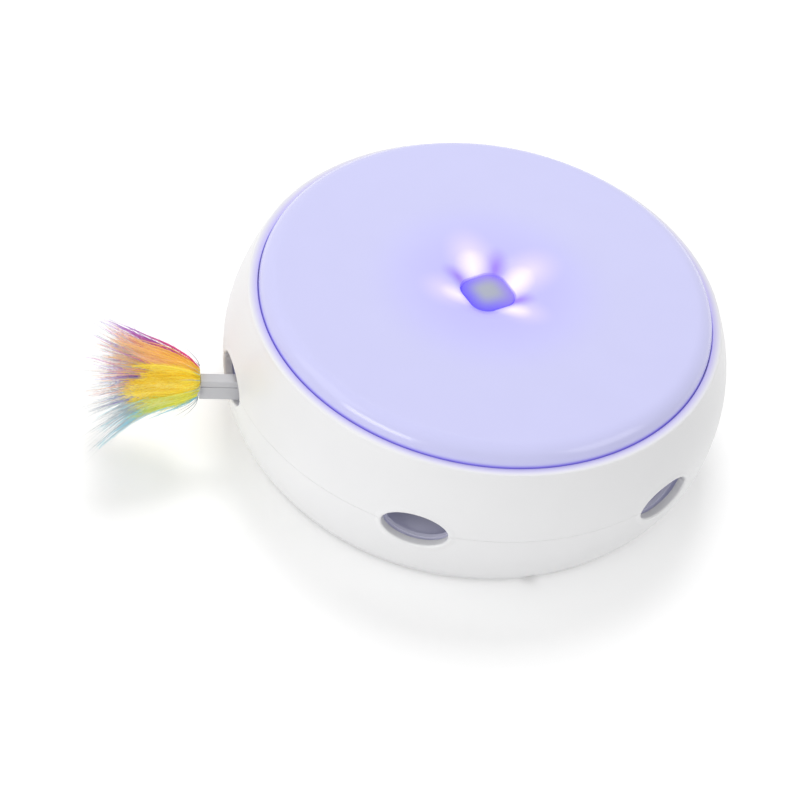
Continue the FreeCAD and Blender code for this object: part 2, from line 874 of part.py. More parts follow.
def turret_motor():
    """Flat motor that hangs from the deck, with its boss."""
    can = cyl(turret_motor_radius, deck_low - turret_motor_height, deck_low, turret_motor_x, turret_motor_y)
    can = can.makeFillet(0.8, [can.Edges[0], can.Edges[2]])
    boss = cyl(motor_boss_radius, deck_low - 0.2, deck_low + motor_boss_height,
               turret_motor_x, turret_motor_y)
    body = joined([can, boss])
    cuts = [cyl(motor_shaft_radius + running_gap, deck_low - 8, deck_top, turret_motor_x, turret_motor_y)]
    for side in (-1, 1):
        cuts.append(cyl(small_screw_radius + thread_gap, deck_low - 3.2, deck_low + over,
                        turret_motor_x + side * turret_motor_radius * 0.62, turret_motor_y))
    return minus(body, cuts)


def turret_motor_screws():
    """Two screws that hold the flat motor to the deck."""
    return [pan_screw(small_screw_radius, small_head_radius, small_head_height, 4.6,
                      turret_motor_x + side * turret_motor_radius * 0.62, turret_motor_y, deck_top)
            for side in (-1, 1)]


def involute(angle):
    """Involute function of an angle in radians."""
    return math.tan(angle) - angle


def flank(teeth, module):
    """Points of one tooth flank, as radius and half angle, from the base outwards."""
    alpha = math.radians(pressure_angle)
    pitch = module * teeth / 2
    base = pitch * math.cos(alpha)
    root = pitch - dedendum * module
    tip = pitch + addendum * module
    half = (math.pi * module / 2 - backlash) / (2 * pitch)
    start = max(base, root)
    count = 5
    points = []
    for i in range(count):
        radius = start + (tip - start) * i / (count - 1)
        points.append((radius, half + involute(alpha) - involute(math.acos(min(1.0, base / radius)))))
    return root, points


def gear(teeth, module, low, high, first_tooth):
    """Spur gear with one tooth centred on the angle given in degrees."""
    root, points = flank(teeth, module)

    def at(radius, angle):
        return V(radius * math.cos(angle), radius * math.sin(angle), low)

    edges = []
    step = 2 * math.pi / teeth
    root_half = points[0][1]
    for i in range(teeth):
        middle = math.radians(first_tooth) + i * step
        rise = Part.BSplineCurve()
        rise.interpolate([at(r, middle - a) for r, a in points])
        fall = Part.BSplineCurve()
        fall.interpolate([at(r, middle + a) for r, a in reversed(points)])
        if points[0][0] > root + 1e-6:
            edges.append(Part.makeLine(at(root, middle - root_half), at(points[0][0], middle - root_half)))
        edges.append(rise.toShape())
        tip, tip_half = points[-1]
        tip_arc = Part.Arc(at(tip, middle - tip_half), at(tip, middle), at(tip, middle + tip_half))
        edges.append(tip_arc.toShape())
        edges.append(fall.toShape())
        if points[0][0] > root + 1e-6:
            edges.append(Part.makeLine(at(points[0][0], middle + root_half), at(root, middle + root_half)))
        edges.append(Part.Arc(at(root, middle + root_half), at(root, middle + step / 2),
                              at(root, middle + step - root_half)).toShape())
    return Part.Face(Part.Wire(edges)).extrude(V(0, 0, high - low))


def bored(shape, radius, low, high):
    """A gear made on the axis, with a bore."""
    return shape.cut(cyl(radius, low - over, high + over))


def idler_pin():
    """Steel pin of the idler gear."""
    return cyl(gear_pin_radius, deck_low, idler_high, idler_x, idler_y)


def idler_gear():
    """Wheel driven by the turret motor, with the pinion that drives the turret."""
    wheel = gear(idler_wheel_teeth, fine_module, idler_low, idler_step, idler_turn)
    pinion = gear(idler_pinion_teeth, ring_module, idler_step - 0.1, idler_high,
                  idler_turn + 180 + 180 / idler_pinion_teeth)
    body = bored(joined([wheel, pinion]), gear_pin_radius + running_gap, idler_low, idler_high)
    return moved(body, idler_x, idler_y, 0)


def turret_motor_pinion():
    """Pinion and shaft of the turret motor."""
    pinion = gear(motor_pinion_teeth, fine_module, idler_low, idler_step + 0.4,
                  idler_turn + 180 + 180 / motor_pinion_teeth)
    shaft = cyl(motor_shaft_radius, deck_low - 7, idler_step + 0.8)
    return moved(joined([pinion, shaft]), turret_motor_x, turret_motor_y, 0)


def turret_gear():
    """Gear under the turret plate, on its hub."""
    wheel = gear(ring_teeth, ring_module, ring_low, turret_low, idler_turn)
    wheel = bored(wheel, hub_radius + thread_gap, ring_low, turret_low)
    holes = [cyl(3.4, ring_low - over, turret_low + over, x, y)
             for x, y in ring_places(6, (hub_radius + ring_pitch) / 2, 0)]
    return minus(wheel, holes)


def turret_bush():
    """Flanged bush that turns on the deck's post and carries the turret."""
    bush = joined([tube(bush_outer, pivot_radius + running_gap, deck_top, hub_high),
                   tube(bush_flange_radius, pivot_radius + running_gap, deck_top, hub_low)])
    return bush


def turret_plate():
    """Turning plate with its hub and a socket for the drive gear's pin."""
    plate = cyl(turret_radius, turret_low, turret_top)
    hub = cyl(hub_radius, hub_low, hub_high)
    posts = [cyl(gear_pin_radius + 1.6, turret_top - 0.2, arm_low + 0.1, rack_pinion_x, rack_pinion_y)]
    body = joined([plate, hub] + posts)
    cuts = [cyl(bush_outer + thread_gap, hub_low - over, hub_high + over)]
    cuts.append(cyl(gear_pin_radius + thread_gap, turret_low + 0.4, arm_low + over,
                    rack_pinion_x, rack_pinion_y))
    cuts.append(cyl(small_screw_radius + thread_gap, turret_low - over, turret_top + over, *bracket_hole()))
    for x, y in lug_points():
        cuts.append(cyl(small_screw_radius + thread_gap, turret_low - over, turret_top + over, x, y))
    return minus(body, cuts)


def pivot_washer_ring():
    """Washer over the hub."""
    return tube(bush_flange_radius, screw_radius + screw_play, pivot_high, pivot_high + pivot_washer)


def pivot_screw():
    """Screw in the deck's post that keeps the turret down."""
    return [pan_screw(screw_radius, screw_head_radius, screw_head_height, 8.0,
                      0, 0, pivot_high + pivot_washer)]


def guide_outer_y():
    """Inner face of the guide's outer wall."""
    return arm_y - arm_width / 2 - guide_gap


def guide_inner_y():
    """Inner face of the guide's inner wall, clear of the rack's teeth."""
    return rack_tip_y + guide_gap


def lug_points():
    """Centres of the screws that hold the cap and the guide to the turret plate."""
    return [(x, guide_outer_y() - guide_wall - lug_radius * 0.7) for x in lug_places]


def arm_guide():
    """Channel on the turret plate that the arm slides in."""
    outer_wall = block((guide_front, guide_back), (guide_outer_y() - guide_wall, guide_outer_y()),
                       (turret_top, guide_top))
    inner_wall = block((guide_front, guide_back), (guide_inner_y(), guide_inner_y() + guide_wall),
                       (turret_top, guide_top))
    slot_half = rack_pinion_pitch + addendum * rack_module + 0.8
    slot_top = rack_high + 2 * guide_gap
    inner_wall = inner_wall.cut(cyl(slot_half, turret_top - over, slot_top, rack_pinion_x, rack_pinion_y))
    bridge = block((guide_back - guide_wall, guide_back), (guide_outer_y() - 0.2, guide_inner_y() + 0.2),
                   (turret_top, guide_top))
    lugs = [cyl(lug_radius, turret_top, guide_top, x, y) for x, y in lug_points()]
    body = joined([outer_wall, inner_wall, bridge] + lugs)
    holes = [cyl(small_screw_radius + thread_gap, turret_top - over, guide_top + over, x, y)
             for x, y in lug_points()]
    return minus(body, holes)


def guide_cap():
    """Plate over the guide that keeps the arm down."""
    plate = block((guide_front, guide_back), (guide_outer_y() - guide_wall, guide_inner_y() + guide_wall),
                  (guide_top, cap_top))
    lugs = [cyl(lug_radius, guide_top, cap_top, x, y) for x, y in lug_points()]
    body = joined([plate] + lugs)
    cuts = [cyl(small_screw_radius + screw_play, guide_top - over, cap_top + over, x, y)
            for x, y in lug_points()]
    cuts.append(cyl(gear_neck_radius + 1.0, guide_top - over, cap_top + over, rack_pinion_x, rack_pinion_y))
    return minus(body, cuts)


def cap_screws():
    """Screws through the cap and the guide into the turret plate."""
    length = cap_top - turret_low - 0.4
    return [pan_screw(small_screw_radius, small_head_radius, small_head_height, length, x, y, cap_top)
            for x, y in lug_points()]


def arm_motor():
    """Small upright motor with flat sides, a boss and two terminals."""
    body = centred(rack_pinion_x, arm_motor_y, arm_motor_width, arm_motor_depth, turret_top, motor_top)
    upright = [e for e in body.Edges if e.BoundBox.ZLength > arm_motor_height / 2]
    body = body.makeFillet(arm_motor_corner, upright)
    boss = cyl(motor_boss_radius, motor_top - 0.2, motor_top + motor_boss_height, rack_pinion_x, arm_motor_y)
    hole = cyl(arm_shaft_radius + running_gap, motor_top - 10, bracket_top, rack_pinion_x, arm_motor_y)
    return joined([body, boss]).cut(hole)


def bracket_hole():
    """Centre of the bracket's screw."""
    x = rack_pinion_x - arm_motor_width / 2 - bracket_wall - bracket_foot / 2 - 0.2
    return x, arm_motor_y


def motor_bracket():
    """Bent bracket beside and over the arm motor."""
    side_x = rack_pinion_x - arm_motor_width / 2 - fit_gap
    depth = arm_motor_depth * 0.8
    wall = block((side_x - bracket_wall, side_x), (arm_motor_y - depth / 2, arm_motor_y + depth / 2),
                 (turret_top, bracket_top))
    foot = block((side_x - bracket_wall - bracket_foot, side_x),
                 (arm_motor_y - depth / 2, arm_motor_y + depth / 2),
                 (turret_top, turret_top + bracket_wall))
    top = block((side_x - bracket_wall, rack_pinion_x + arm_motor_width / 2),
                (arm_motor_y - depth / 2, arm_motor_y + depth / 2), (motor_top, bracket_top))
    body = joined([wall, foot, top])
    cuts = [cyl(motor_boss_radius + fit_gap, motor_top - over, bracket_top + over,
                rack_pinion_x, arm_motor_y)]
    cuts.append(cyl(small_screw_radius + screw_play, turret_top - over, turret_top + 3, *bracket_hole()))
    return minus(body, cuts)


def bracket_screw():
    """Screw of the motor bracket."""
    x, y = bracket_hole()
    return [pan_screw(small_screw_radius, small_head_radius, small_head_height,
                      bracket_wall + turret_thickness, x, y, turret_top + bracket_wall)]


def arm_motor_pinion():
    """Pinion and shaft of the arm motor."""
    pinion = gear(motor_pinion_teeth, fine_module, drive_wheel_low - 0.2, drive_wheel_high + 0.2,
                  270 + 180 / motor_pinion_teeth)
    shaft = cyl(arm_shaft_radius, motor_top - 9, drive_wheel_high + 0.6)
    return moved(joined([pinion, shaft]), rack_pinion_x, arm_motor_y, 0)


def arm_drive_gear():
    """Rack pinion and wheel in one, on an upright pin."""
    low = rack_low - 0.4
    high = rack_high
    pinion = gear(rack_pinion_teeth, rack_module, low, high, 270)
    neck = cyl(gear_neck_radius, high - 0.1, drive_wheel_low + 0.1)
    wheel = gear(drive_wheel_teeth, fine_module, drive_wheel_low, drive_wheel_high, 90)
    body = bored(joined([pinion, neck, wheel]), gear_pin_radius + running_gap, low, drive_wheel_high)
    return moved(body, rack_pinion_x, rack_pinion_y, 0)


def drive_gear_pin():
    """Steel pin of the drive gear, with a groove for its clip."""
    pin = cyl(gear_pin_radius, turret_low + 0.4, drive_wheel_high + 1.6, rack_pinion_x, rack_pinion_y)
    groove = tube(gear_pin_radius + over, gear_pin_radius * 0.75, drive_wheel_high + 0.3,
                  drive_wheel_high + 0.35 + clip_thickness, rack_pinion_x, rack_pinion_y)
    return pin.cut(groove)


def gear_clip():
    """Open clip in the pin's groove, over the wheel."""
    low = drive_wheel_high + 0.32
    ring = tube(clip_radius, gear_pin_radius * 0.75 + thread_gap, low, low + clip_thickness,
                rack_pinion_x, rack_pinion_y)
    return ring.cut(centred(rack_pinion_x + clip_radius, rack_pinion_y, 2 * clip_radius, 1.4,
                            low - over, low + over))


def home_switch():
    """Small switch that the arm's tail presses when the feather is in."""
    length, width, height = home_switch_size
    x = home_switch_x
    near = x + home_switch_lever
    body = block((near, near + length), (arm_y - width / 2, arm_y + width / 2),
                 (turret_top, turret_top + height))
    button = Part.makeCylinder(0.7, 1.0, V(x, arm_y, turret_top + height * 0.7), V(1, 0, 0))
    return joined([body, button])


def feather_arm():
    """Flat bar that carries the feather, with the rack on its inner side."""
    bar = block((-arm_front, arm_back), (arm_y - arm_width / 2, arm_y + arm_width / 2), (arm_low, arm_top))
    along = [e for e in bar.Edges if e.BoundBox.XLength > 10]
    bar = bar.makeFillet(arm_edge, along)
    quill_hole = Part.makeCylinder(quill_radius, quill_grip + over,
                                   V(-arm_front - over, arm_y, window_z), V(1, 0, 0))
    line_top = arm_top - arm_line_drop
    side = arm_y - arm_width / 2
    line = block((-arm_front - over, arm_back + over), (side - over, side + arm_line_depth),
                 (line_top - arm_line_height, line_top))
    return joined([minus(bar, [quill_hole, line]), rack_teeth()])


def rack_teeth():
    """Rack on the arm's inner side, in mesh with the pinion at rest."""
    alpha = math.radians(pressure_angle)
    pitch = math.pi * rack_module
    tip_y = rack_tip_y
    root_y = rack_face_y
    half = (pitch / 2 - backlash) / 2
    tip_half = half - addendum * rack_module * math.tan(alpha)
    root_half = half + dedendum * rack_module * math.tan(alpha)
    bottom = rack_low
    top = rack_high
    first = math.ceil((rack_front - rack_pinion_x - pitch / 2) / pitch)
    last = math.floor((rack_back - rack_pinion_x + pitch / 2) / pitch)
    inset = 0.3
    points = [V(rack_pinion_x + (first - 1) * pitch + pitch / 2, root_y - inset, bottom)]
    points.append(V(points[0].x, root_y, bottom))
    for i in range(first, last):
        middle = rack_pinion_x + (i + 0.5) * pitch
        points.append(V(middle - root_half, root_y, bottom))
        points.append(V(middle - tip_half, tip_y, bottom))
        points.append(V(middle + tip_half, tip_y, bottom))
        points.append(V(middle + root_half, root_y, bottom))
    end = rack_pinion_x + (last + 0.5) * pitch
    points.append(V(end, root_y, bottom))
    points.append(V(end, root_y - inset, bottom))
    points.append(points[0])
    face = Part.Face(Part.makePolygon(points))
    return face.extrude(V(0, 0, top - bottom))


def feather_ferrule():
    """Cup at the arm's end that holds the quills, with its plug in the arm."""
    cup = Part.makeCylinder(ferrule_radius, ferrule_length, V(-arm_front, arm_y, window_z), V(-1, 0, 0))
    plug = Part.makeCylinder(quill_radius - thread_gap, quill_grip,
                             V(-arm_front - 0.3, arm_y, window_z), V(1, 0, 0))
    hollow = Part.makeCylinder(ferrule_radius - ferrule_wall, ferrule_length,
                               V(-arm_front - ferrule_wall, arm_y, window_z), V(-1, 0, 0))
    return joined([cup.cut(hollow), plug])


def feather_tuft():
    """Tuft of dyed feathers as a flared solid of its outer shape, round the cup."""
    cup = ferrule_radius + tuft_gap
    floor = ferrule_length + tuft_gap
    edges = lines([(0, tuft_length), (0, floor), (cup, floor), (cup, tuft_gap), (tuft_root_radius, tuft_gap)])
    shoulder = V(tuft_tip_radius, 0, tuft_shoulder)
    side = Part.BSplineCurve()
    side.interpolate([V(tuft_root_radius, 0, tuft_gap), V(tuft_neck_radius, 0, tuft_neck),
                      V(tuft_middle_radius, 0, tuft_middle), shoulder])
    edges.append(side.toShape())
    crown_middle = V(tuft_tip_radius * 0.6, 0, tuft_shoulder + (tuft_length - tuft_shoulder) * 0.7)
    edges.append(Part.Arc(shoulder, crown_middle, V(tuft_crown_flat, 0, tuft_length)).toShape())
    edges += lines([(tuft_crown_flat, tuft_length), (0, tuft_length)])
    body = spun(edges)
    body.rotate(V(0, 0, 0), V(0, 1, 0), -90)
    return moved(body, -arm_front, arm_y, window_z)


def save(name, shapes):
    """Writes one node's solids to its file."""
    solids = shapes if isinstance(shapes, list) else [shapes]
    solids = [solid for shape in solids for solid in shape.Solids]
    for solid in solids:
        if not solid.isValid():
            raise ValueError(name + " has a solid that isn't valid")
    whole = solids[0] if len(solids) == 1 else Part.makeCompound(solids)
    whole.exportStep(os.path.join("parts", name + ".step"))
    print(name, len(solids), round(whole.Volume))


def main():
    """Builds and writes every node."""
    os.makedirs("parts", exist_ok=True)
    nodes = {
        "lower_casing": lower_casing,
        "upper_casing": upper_casing,
        "window_liner": window_liner,
        "top_cover": top_cover,
        "push_button": push_button,
        "light_reflector": light_reflector,
        "led_board": led_board,
        "led_lamps": led_lamps,
        "tact_switch": tact_switch,
        "switch_plunger": switch_plunger,
        "rubber_feet": rubber_feet,
        "casing_screws": casing_screws,
        "battery_door": battery_door,
        "door_screw": door_screw,
        "battery_cells": battery_cells,
        "contact_plates": contact_plates,
        "contact_springs": contact_springs,
        "main_board": main_board,
        "board_parts": board_parts,
        "board_screws": board_screws,
        "chassis_deck": chassis_deck,
        "deck_screws": deck_screws,
        "turret_motor": turret_motor,
        "turret_motor_screws": turret_motor_screws,
        "turret_motor_pinion": turret_motor_pinion,
        "idler_pin": idler_pin,
        "idler_gear": idler_gear,
        "turret_bush": turret_bush,
        "turret_plate": turret_plate,
        "turret_gear": turret_gear,
        "pivot_washer": pivot_washer_ring,
        "pivot_screw": pivot_screw,
        "arm_guide": arm_guide,
        "guide_cap": guide_cap,
        "cap_screws": cap_screws,
        "arm_motor": arm_motor,
        "motor_bracket": motor_bracket,
        "bracket_screw": bracket_screw,
        "arm_motor_pinion": arm_motor_pinion,
        "arm_drive_gear": arm_drive_gear,
        "drive_gear_pin": drive_gear_pin,
        "gear_clip": gear_clip,
        "home_switch": home_switch,
        "feather_arm": feather_arm,
        "feather_ferrule": feather_ferrule,
        "feather_tuft": feather_tuft,
    }
    for name, make in nodes.items():
        save(name, make())


main()
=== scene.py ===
"""Dresses the automatic cat toy: casing, lit cover, button, feather tuft and every piece's finish."""

import logging
import math
import random
from dataclasses import dataclass, field
from enum import Enum

import bmesh
import bpy
from mathutils import Matrix, Vector


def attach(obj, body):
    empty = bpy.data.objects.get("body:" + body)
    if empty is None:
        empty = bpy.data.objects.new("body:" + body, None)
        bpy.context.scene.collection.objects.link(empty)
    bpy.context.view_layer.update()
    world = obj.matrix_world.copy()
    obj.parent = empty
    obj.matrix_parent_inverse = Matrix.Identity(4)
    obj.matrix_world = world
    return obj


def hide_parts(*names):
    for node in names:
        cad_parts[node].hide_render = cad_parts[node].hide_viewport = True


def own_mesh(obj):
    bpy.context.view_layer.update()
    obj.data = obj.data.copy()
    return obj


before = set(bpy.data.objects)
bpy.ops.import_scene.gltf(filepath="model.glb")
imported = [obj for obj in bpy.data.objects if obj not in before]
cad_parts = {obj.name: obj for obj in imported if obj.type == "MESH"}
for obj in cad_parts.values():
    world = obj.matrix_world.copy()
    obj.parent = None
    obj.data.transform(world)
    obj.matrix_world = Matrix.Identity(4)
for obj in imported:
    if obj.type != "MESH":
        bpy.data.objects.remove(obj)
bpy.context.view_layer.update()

MM = 0.001
TAU = 2 * math.pi
SMOOTH_ANGLE = math.radians(32)
ROW_WELD = 2e-6
NODE_WELD = 1e-6

Node, Tree, Socket = bpy.types.Node, bpy.types.NodeTree, bpy.types.NodeSocket
Object, Mesh, Material = bpy.types.Object, bpy.types.Mesh, bpy.types.Material
Pair = tuple[float, float]
Point = tuple[float, float, float]
Ring = list[Point]

log = logging.getLogger("cat_toy")


def linear(hex_colour: str) -> tuple[float, float, float, float]:
    """Turns an sRGB hex colour into the linear colour and alpha that the shaders take."""
    channels = [int(hex_colour[i:i + 2], 16) / 255 for i in (0, 2, 4)]
    lit = [c / 12.92 if c <= 0.04045 else ((c + 0.055) / 1.055) ** 2.4 for c in channels]
    return lit[0], lit[1], lit[2], 1.0


def feed(tree: Tree, node: Node, inputs: dict) -> None:
    """Sets or links a node's inputs, by their names or numbers."""
    for key, value in inputs.items():
        if isinstance(value, Socket):
            tree.links.new(value, node.inputs[key])
        else:
            node.inputs[key].default_value = value


def add_node(tree: Tree, kind: str, settings: dict | None = None, inputs: dict | None = None) -> Node:
    """Adds a node, with its settings and its inputs set or linked.

    Args:
        tree: The tree that the node goes in.
        kind: The node's type name.
        settings: Attributes of the node.
        inputs: Values or output sockets, by the input's name or number.

    Returns:
        The new node.
    """
    node = tree.nodes.new(kind)
    for name, value in (settings or {}).items():
        setattr(node, name, value)
    feed(tree, node, inputs or {})
    return node


def maths(tree: Tree, operation: str, *values: float | Socket) -> Socket:
    """Adds a math node and gives its value."""
    return add_node(tree, "ShaderNodeMath", {"operation": operation}, dict(enumerate(values))).outputs[0]


def remap(tree: Tree, value: Socket, start: Pair, end: Pair = (0.0, 1.0), smooth: bool = False) -> Socket:
    """Maps a value from one range to another.

    Args:
        tree: The tree.
        value: The value to map.
        start: The range that it comes from.
        end: The range that it goes to, and never leaves.
        smooth: True to ease in and out.

    Returns:
        The mapped value.
    """
    kind = "SMOOTHSTEP" if smooth else "LINEAR"
    return add_node(tree, "ShaderNodeMapRange", {"interpolation_type": kind}, {
        "Value": value, "From Min": start[0], "From Max": start[1],
        "To Min": end[0], "To Max": end[1]}).outputs["Result"]


def blend(tree: Tree, factor: float | Socket, first: tuple | Socket, second: tuple | Socket,
          kind: str = "MIX") -> Socket:
    """Blends two colours.

    Args:
        tree: The tree.
        factor: The second colour's share.
        first: The first colour.
        second: The second colour.
        kind: How they blend.

    Returns:
        The blended colour.
    """
    return add_node(tree, "ShaderNodeMix", {"data_type": "RGBA", "blend_type": kind}, {
        "Factor": factor, 6: first, 7: second}).outputs[2]


def from_axis(tree: Tree, place: Socket) -> tuple[Socket, Socket]:
    """Gives the distance from the toy's upright axis, and the height."""
    parts = add_node(tree, "ShaderNodeSeparateXYZ", None, {"Vector": place}).outputs
    flat = add_node(tree, "ShaderNodeCombineXYZ", None, {"X": parts["X"], "Y": parts["Y"]})
    reach = add_node(tree, "ShaderNodeVectorMath", {"operation": "LENGTH"}, {0: flat.outputs["Vector"]})
    return reach.outputs["Value"], parts["Z"]


class Ground(Enum):
    """How a surface was made, which sets its fine relief."""

    MOULDED = "moulded"
    DRAWN = "drawn"
    MATT = "matt"


@dataclass(frozen=True)
class Finish:
    """One finish: what it is made of, its colour and its fine relief."""

    name: str
    colour: str
    roughness: float
    metallic: float = 0.0
    ior: float = 1.5
    coat: float = 0.0
    ground: Ground = Ground.MOULDED
    # A mould's real grain is about 0.05 mm, too fine for the picture, so it is drawn coarser.
    grain_mm: float = 0.6
    relief_mm: float = 0.01
    mottle: float = 0.03
    cloud_mm: float = 14.0
    noise_range: Pair = (0.3, 0.7)
    rough_range: Pair = (0.92, 1.08)
    streak: float = 0.06

    def paint(self, tree: Tree, surface: Node, place: Socket) -> tuple | Socket:
        """Gives the colour before its mottle. Other kinds of finish paint a pattern here."""
        return linear(self.colour)

    def make(self) -> Material:
        """Makes the material: colour, slight mottle, roughness and relief.

        Returns:
            The material.
        """
        material = bpy.data.materials.new(self.name)
        material.use_nodes = True
        tree = material.node_tree
        tree.nodes.clear()
        surface = add_node(tree, "ShaderNodeBsdfPrincipled", None, {
            "Metallic": self.metallic, "Coat Weight": self.coat})
        if self.metallic < 0.5:
            surface.inputs["IOR"].default_value = self.ior
        add_node(tree, "ShaderNodeOutputMaterial", None, {"Surface": surface.outputs["BSDF"]})
        place = add_node(tree, "ShaderNodeTexCoord").outputs["Object"]
        stretch = (1.0, 1.0, self.streak if self.ground is Ground.DRAWN else 1.0)
        turn = add_node(tree, "ShaderNodeMapping", None, {"Vector": place, "Scale": stretch})
        grain = add_node(tree, "ShaderNodeTexNoise", None, {
            "Vector": turn.outputs["Vector"], "Scale": 1 / (self.grain_mm * MM),
            "Detail": 2.0}).outputs["Fac"]
        cloud = add_node(tree, "ShaderNodeTexNoise", None, {
            "Vector": place, "Scale": 1 / (self.cloud_mm * MM), "Detail": 1.0}).outputs["Fac"]
        shade = remap(tree, cloud, self.noise_range, (1 - self.mottle, 1.0))
        low, high = (min(1.0, self.roughness * share) for share in self.rough_range)
        bump = add_node(tree, "ShaderNodeBump", None, {
            "Height": grain, "Strength": 1.0, "Distance": self.relief_mm * MM})
        feed(tree, surface, {
            "Base Color": blend(tree, 1.0, self.paint(tree, surface, place), shade, "MULTIPLY"),
            "Roughness": remap(tree, grain, self.noise_range, (low, high)), "Normal": bump.outputs["Normal"]})
        return material


def steps(first: float, last: float, count: int) -> list[float]:
    """Evenly spaced values, both ends included."""
    return [first + (last - first) * i / count for i in range(count + 1)]


def polar(reach: float, turn: float, z: float) -> Point:
    """A point by its distance from the axis, its direction in radians and its height."""
    return reach * math.cos(turn), reach * math.sin(turn), z


def arc(centre: Pair, radius: float, start: float, end: float, count: int) -> list[Pair]:
    """Points on an arc in radius and height, angles in degrees, both ends included."""
    turns = [math.radians(angle) for angle in steps(start, end, count)]
    return [(centre[0] + radius * math.cos(turn), centre[1] + radius * math.sin(turn)) for turn in turns]


def smooth(mesh: Mesh) -> None:
    """Shades a mesh smooth but for its sharp edges."""
    mesh.shade_smooth()
    mesh.set_sharp_from_angle(angle=SMOOTH_ANGLE)


def working(*meshes: Mesh) -> bmesh.types.BMesh:
    """Gives a working mesh that holds all the faces of some meshes."""
    work = bmesh.new()
    for mesh in meshes:
        work.from_mesh(mesh)
    return work


def solid(work: bmesh.types.BMesh, name: str, weld: float = 0.0) -> Object:
    """Turns a working mesh into an object with its faces outwards.

    Args:
        work: The working mesh, which is freed.
        name: The object's name.
        weld: Points nearer than this become one, in metres.

    Returns:
        The object, at the origin.
    """
    if weld:
        bmesh.ops.remove_doubles(work, verts=work.verts, dist=weld)
    bmesh.ops.recalc_face_normals(work, faces=work.faces)
    mesh = bpy.data.meshes.new(name)
    work.to_mesh(mesh)
    work.free()
    smooth(mesh)
    piece = bpy.data.objects.new(name, mesh)
    bpy.context.scene.collection.objects.link(piece)
    return piece


@dataclass
class Rows:
    """Rows of points, in millimetres, that become one mesh in metres."""

    points: Ring = field(default_factory=list)
    faces: list[tuple[int, ...]] = field(default_factory=list)

    def bridge(self, first: list[int], second: list[int]) -> None:
        """Joins two closed rows of equal length with four-sided faces."""
        for i in range(len(first)):
            j = (i + 1) % len(first)
            self.faces.append((first[i], first[j], second[j], second[i]))

    def sweep(self, rows: list[Ring], closed: bool = False) -> list[int]:
        """Adds rows and joins each to the next.

        Args:
            rows: The rows' points.
            closed: True to join the last row to the first.

        Returns:
            The numbers of the last row's points.
        """
        numbers = []
        for points in rows:
            start = len(self.points)
            self.points.extend(points)
            numbers.append(list(range(start, len(self.points))))
        for first, second in zip(numbers, numbers[1:]):
            self.bridge(first, second)
        if closed:
            self.bridge(numbers[-1], numbers[0])
        return numbers[-1]

    def object(self, name: str) -> Object:
        """Welds the rows into one closed mesh object with its faces outwards."""
        mesh = bpy.data.meshes.new(name)
        mesh.from_pydata([(x * MM, y * MM, z * MM) for x, y, z in self.points], [], self.faces)
        work = working(mesh)
        bpy.data.meshes.remove(mesh)
        return solid(work, name, ROW_WELD)


def settle(piece: Object) -> None:
    """Turns a piece with modifiers into a plain mesh."""
    seen = piece.evaluated_get(bpy.context.evaluated_depsgraph_get())
    mesh = bpy.data.meshes.new_from_object(seen)
    piece.modifiers.clear()
    piece.data = mesh
    smooth(mesh)


def cut(piece: Object, tools: list[Object], operation: str) -> None:
    """Cuts a piece with tools, or keeps what it shares with them.

    Args:
        piece: The mesh object to change.
        tools: Closed mesh objects, removed afterwards.
        operation: DIFFERENCE or INTERSECT.
    """
    for tool in tools:
        modifier = piece.modifiers.new("cut", "BOOLEAN")
        modifier.operation = operation
        modifier.solver = "EXACT"
        modifier.object = tool
    bpy.context.view_layer.update()
    settle(piece)
    for tool in tools:
        bpy.data.objects.remove(tool)


def dress(piece: Object, material: Material) -> None:
    """Gives a piece one material."""
    piece.data.materials.clear()
    piece.data.materials.append(material)


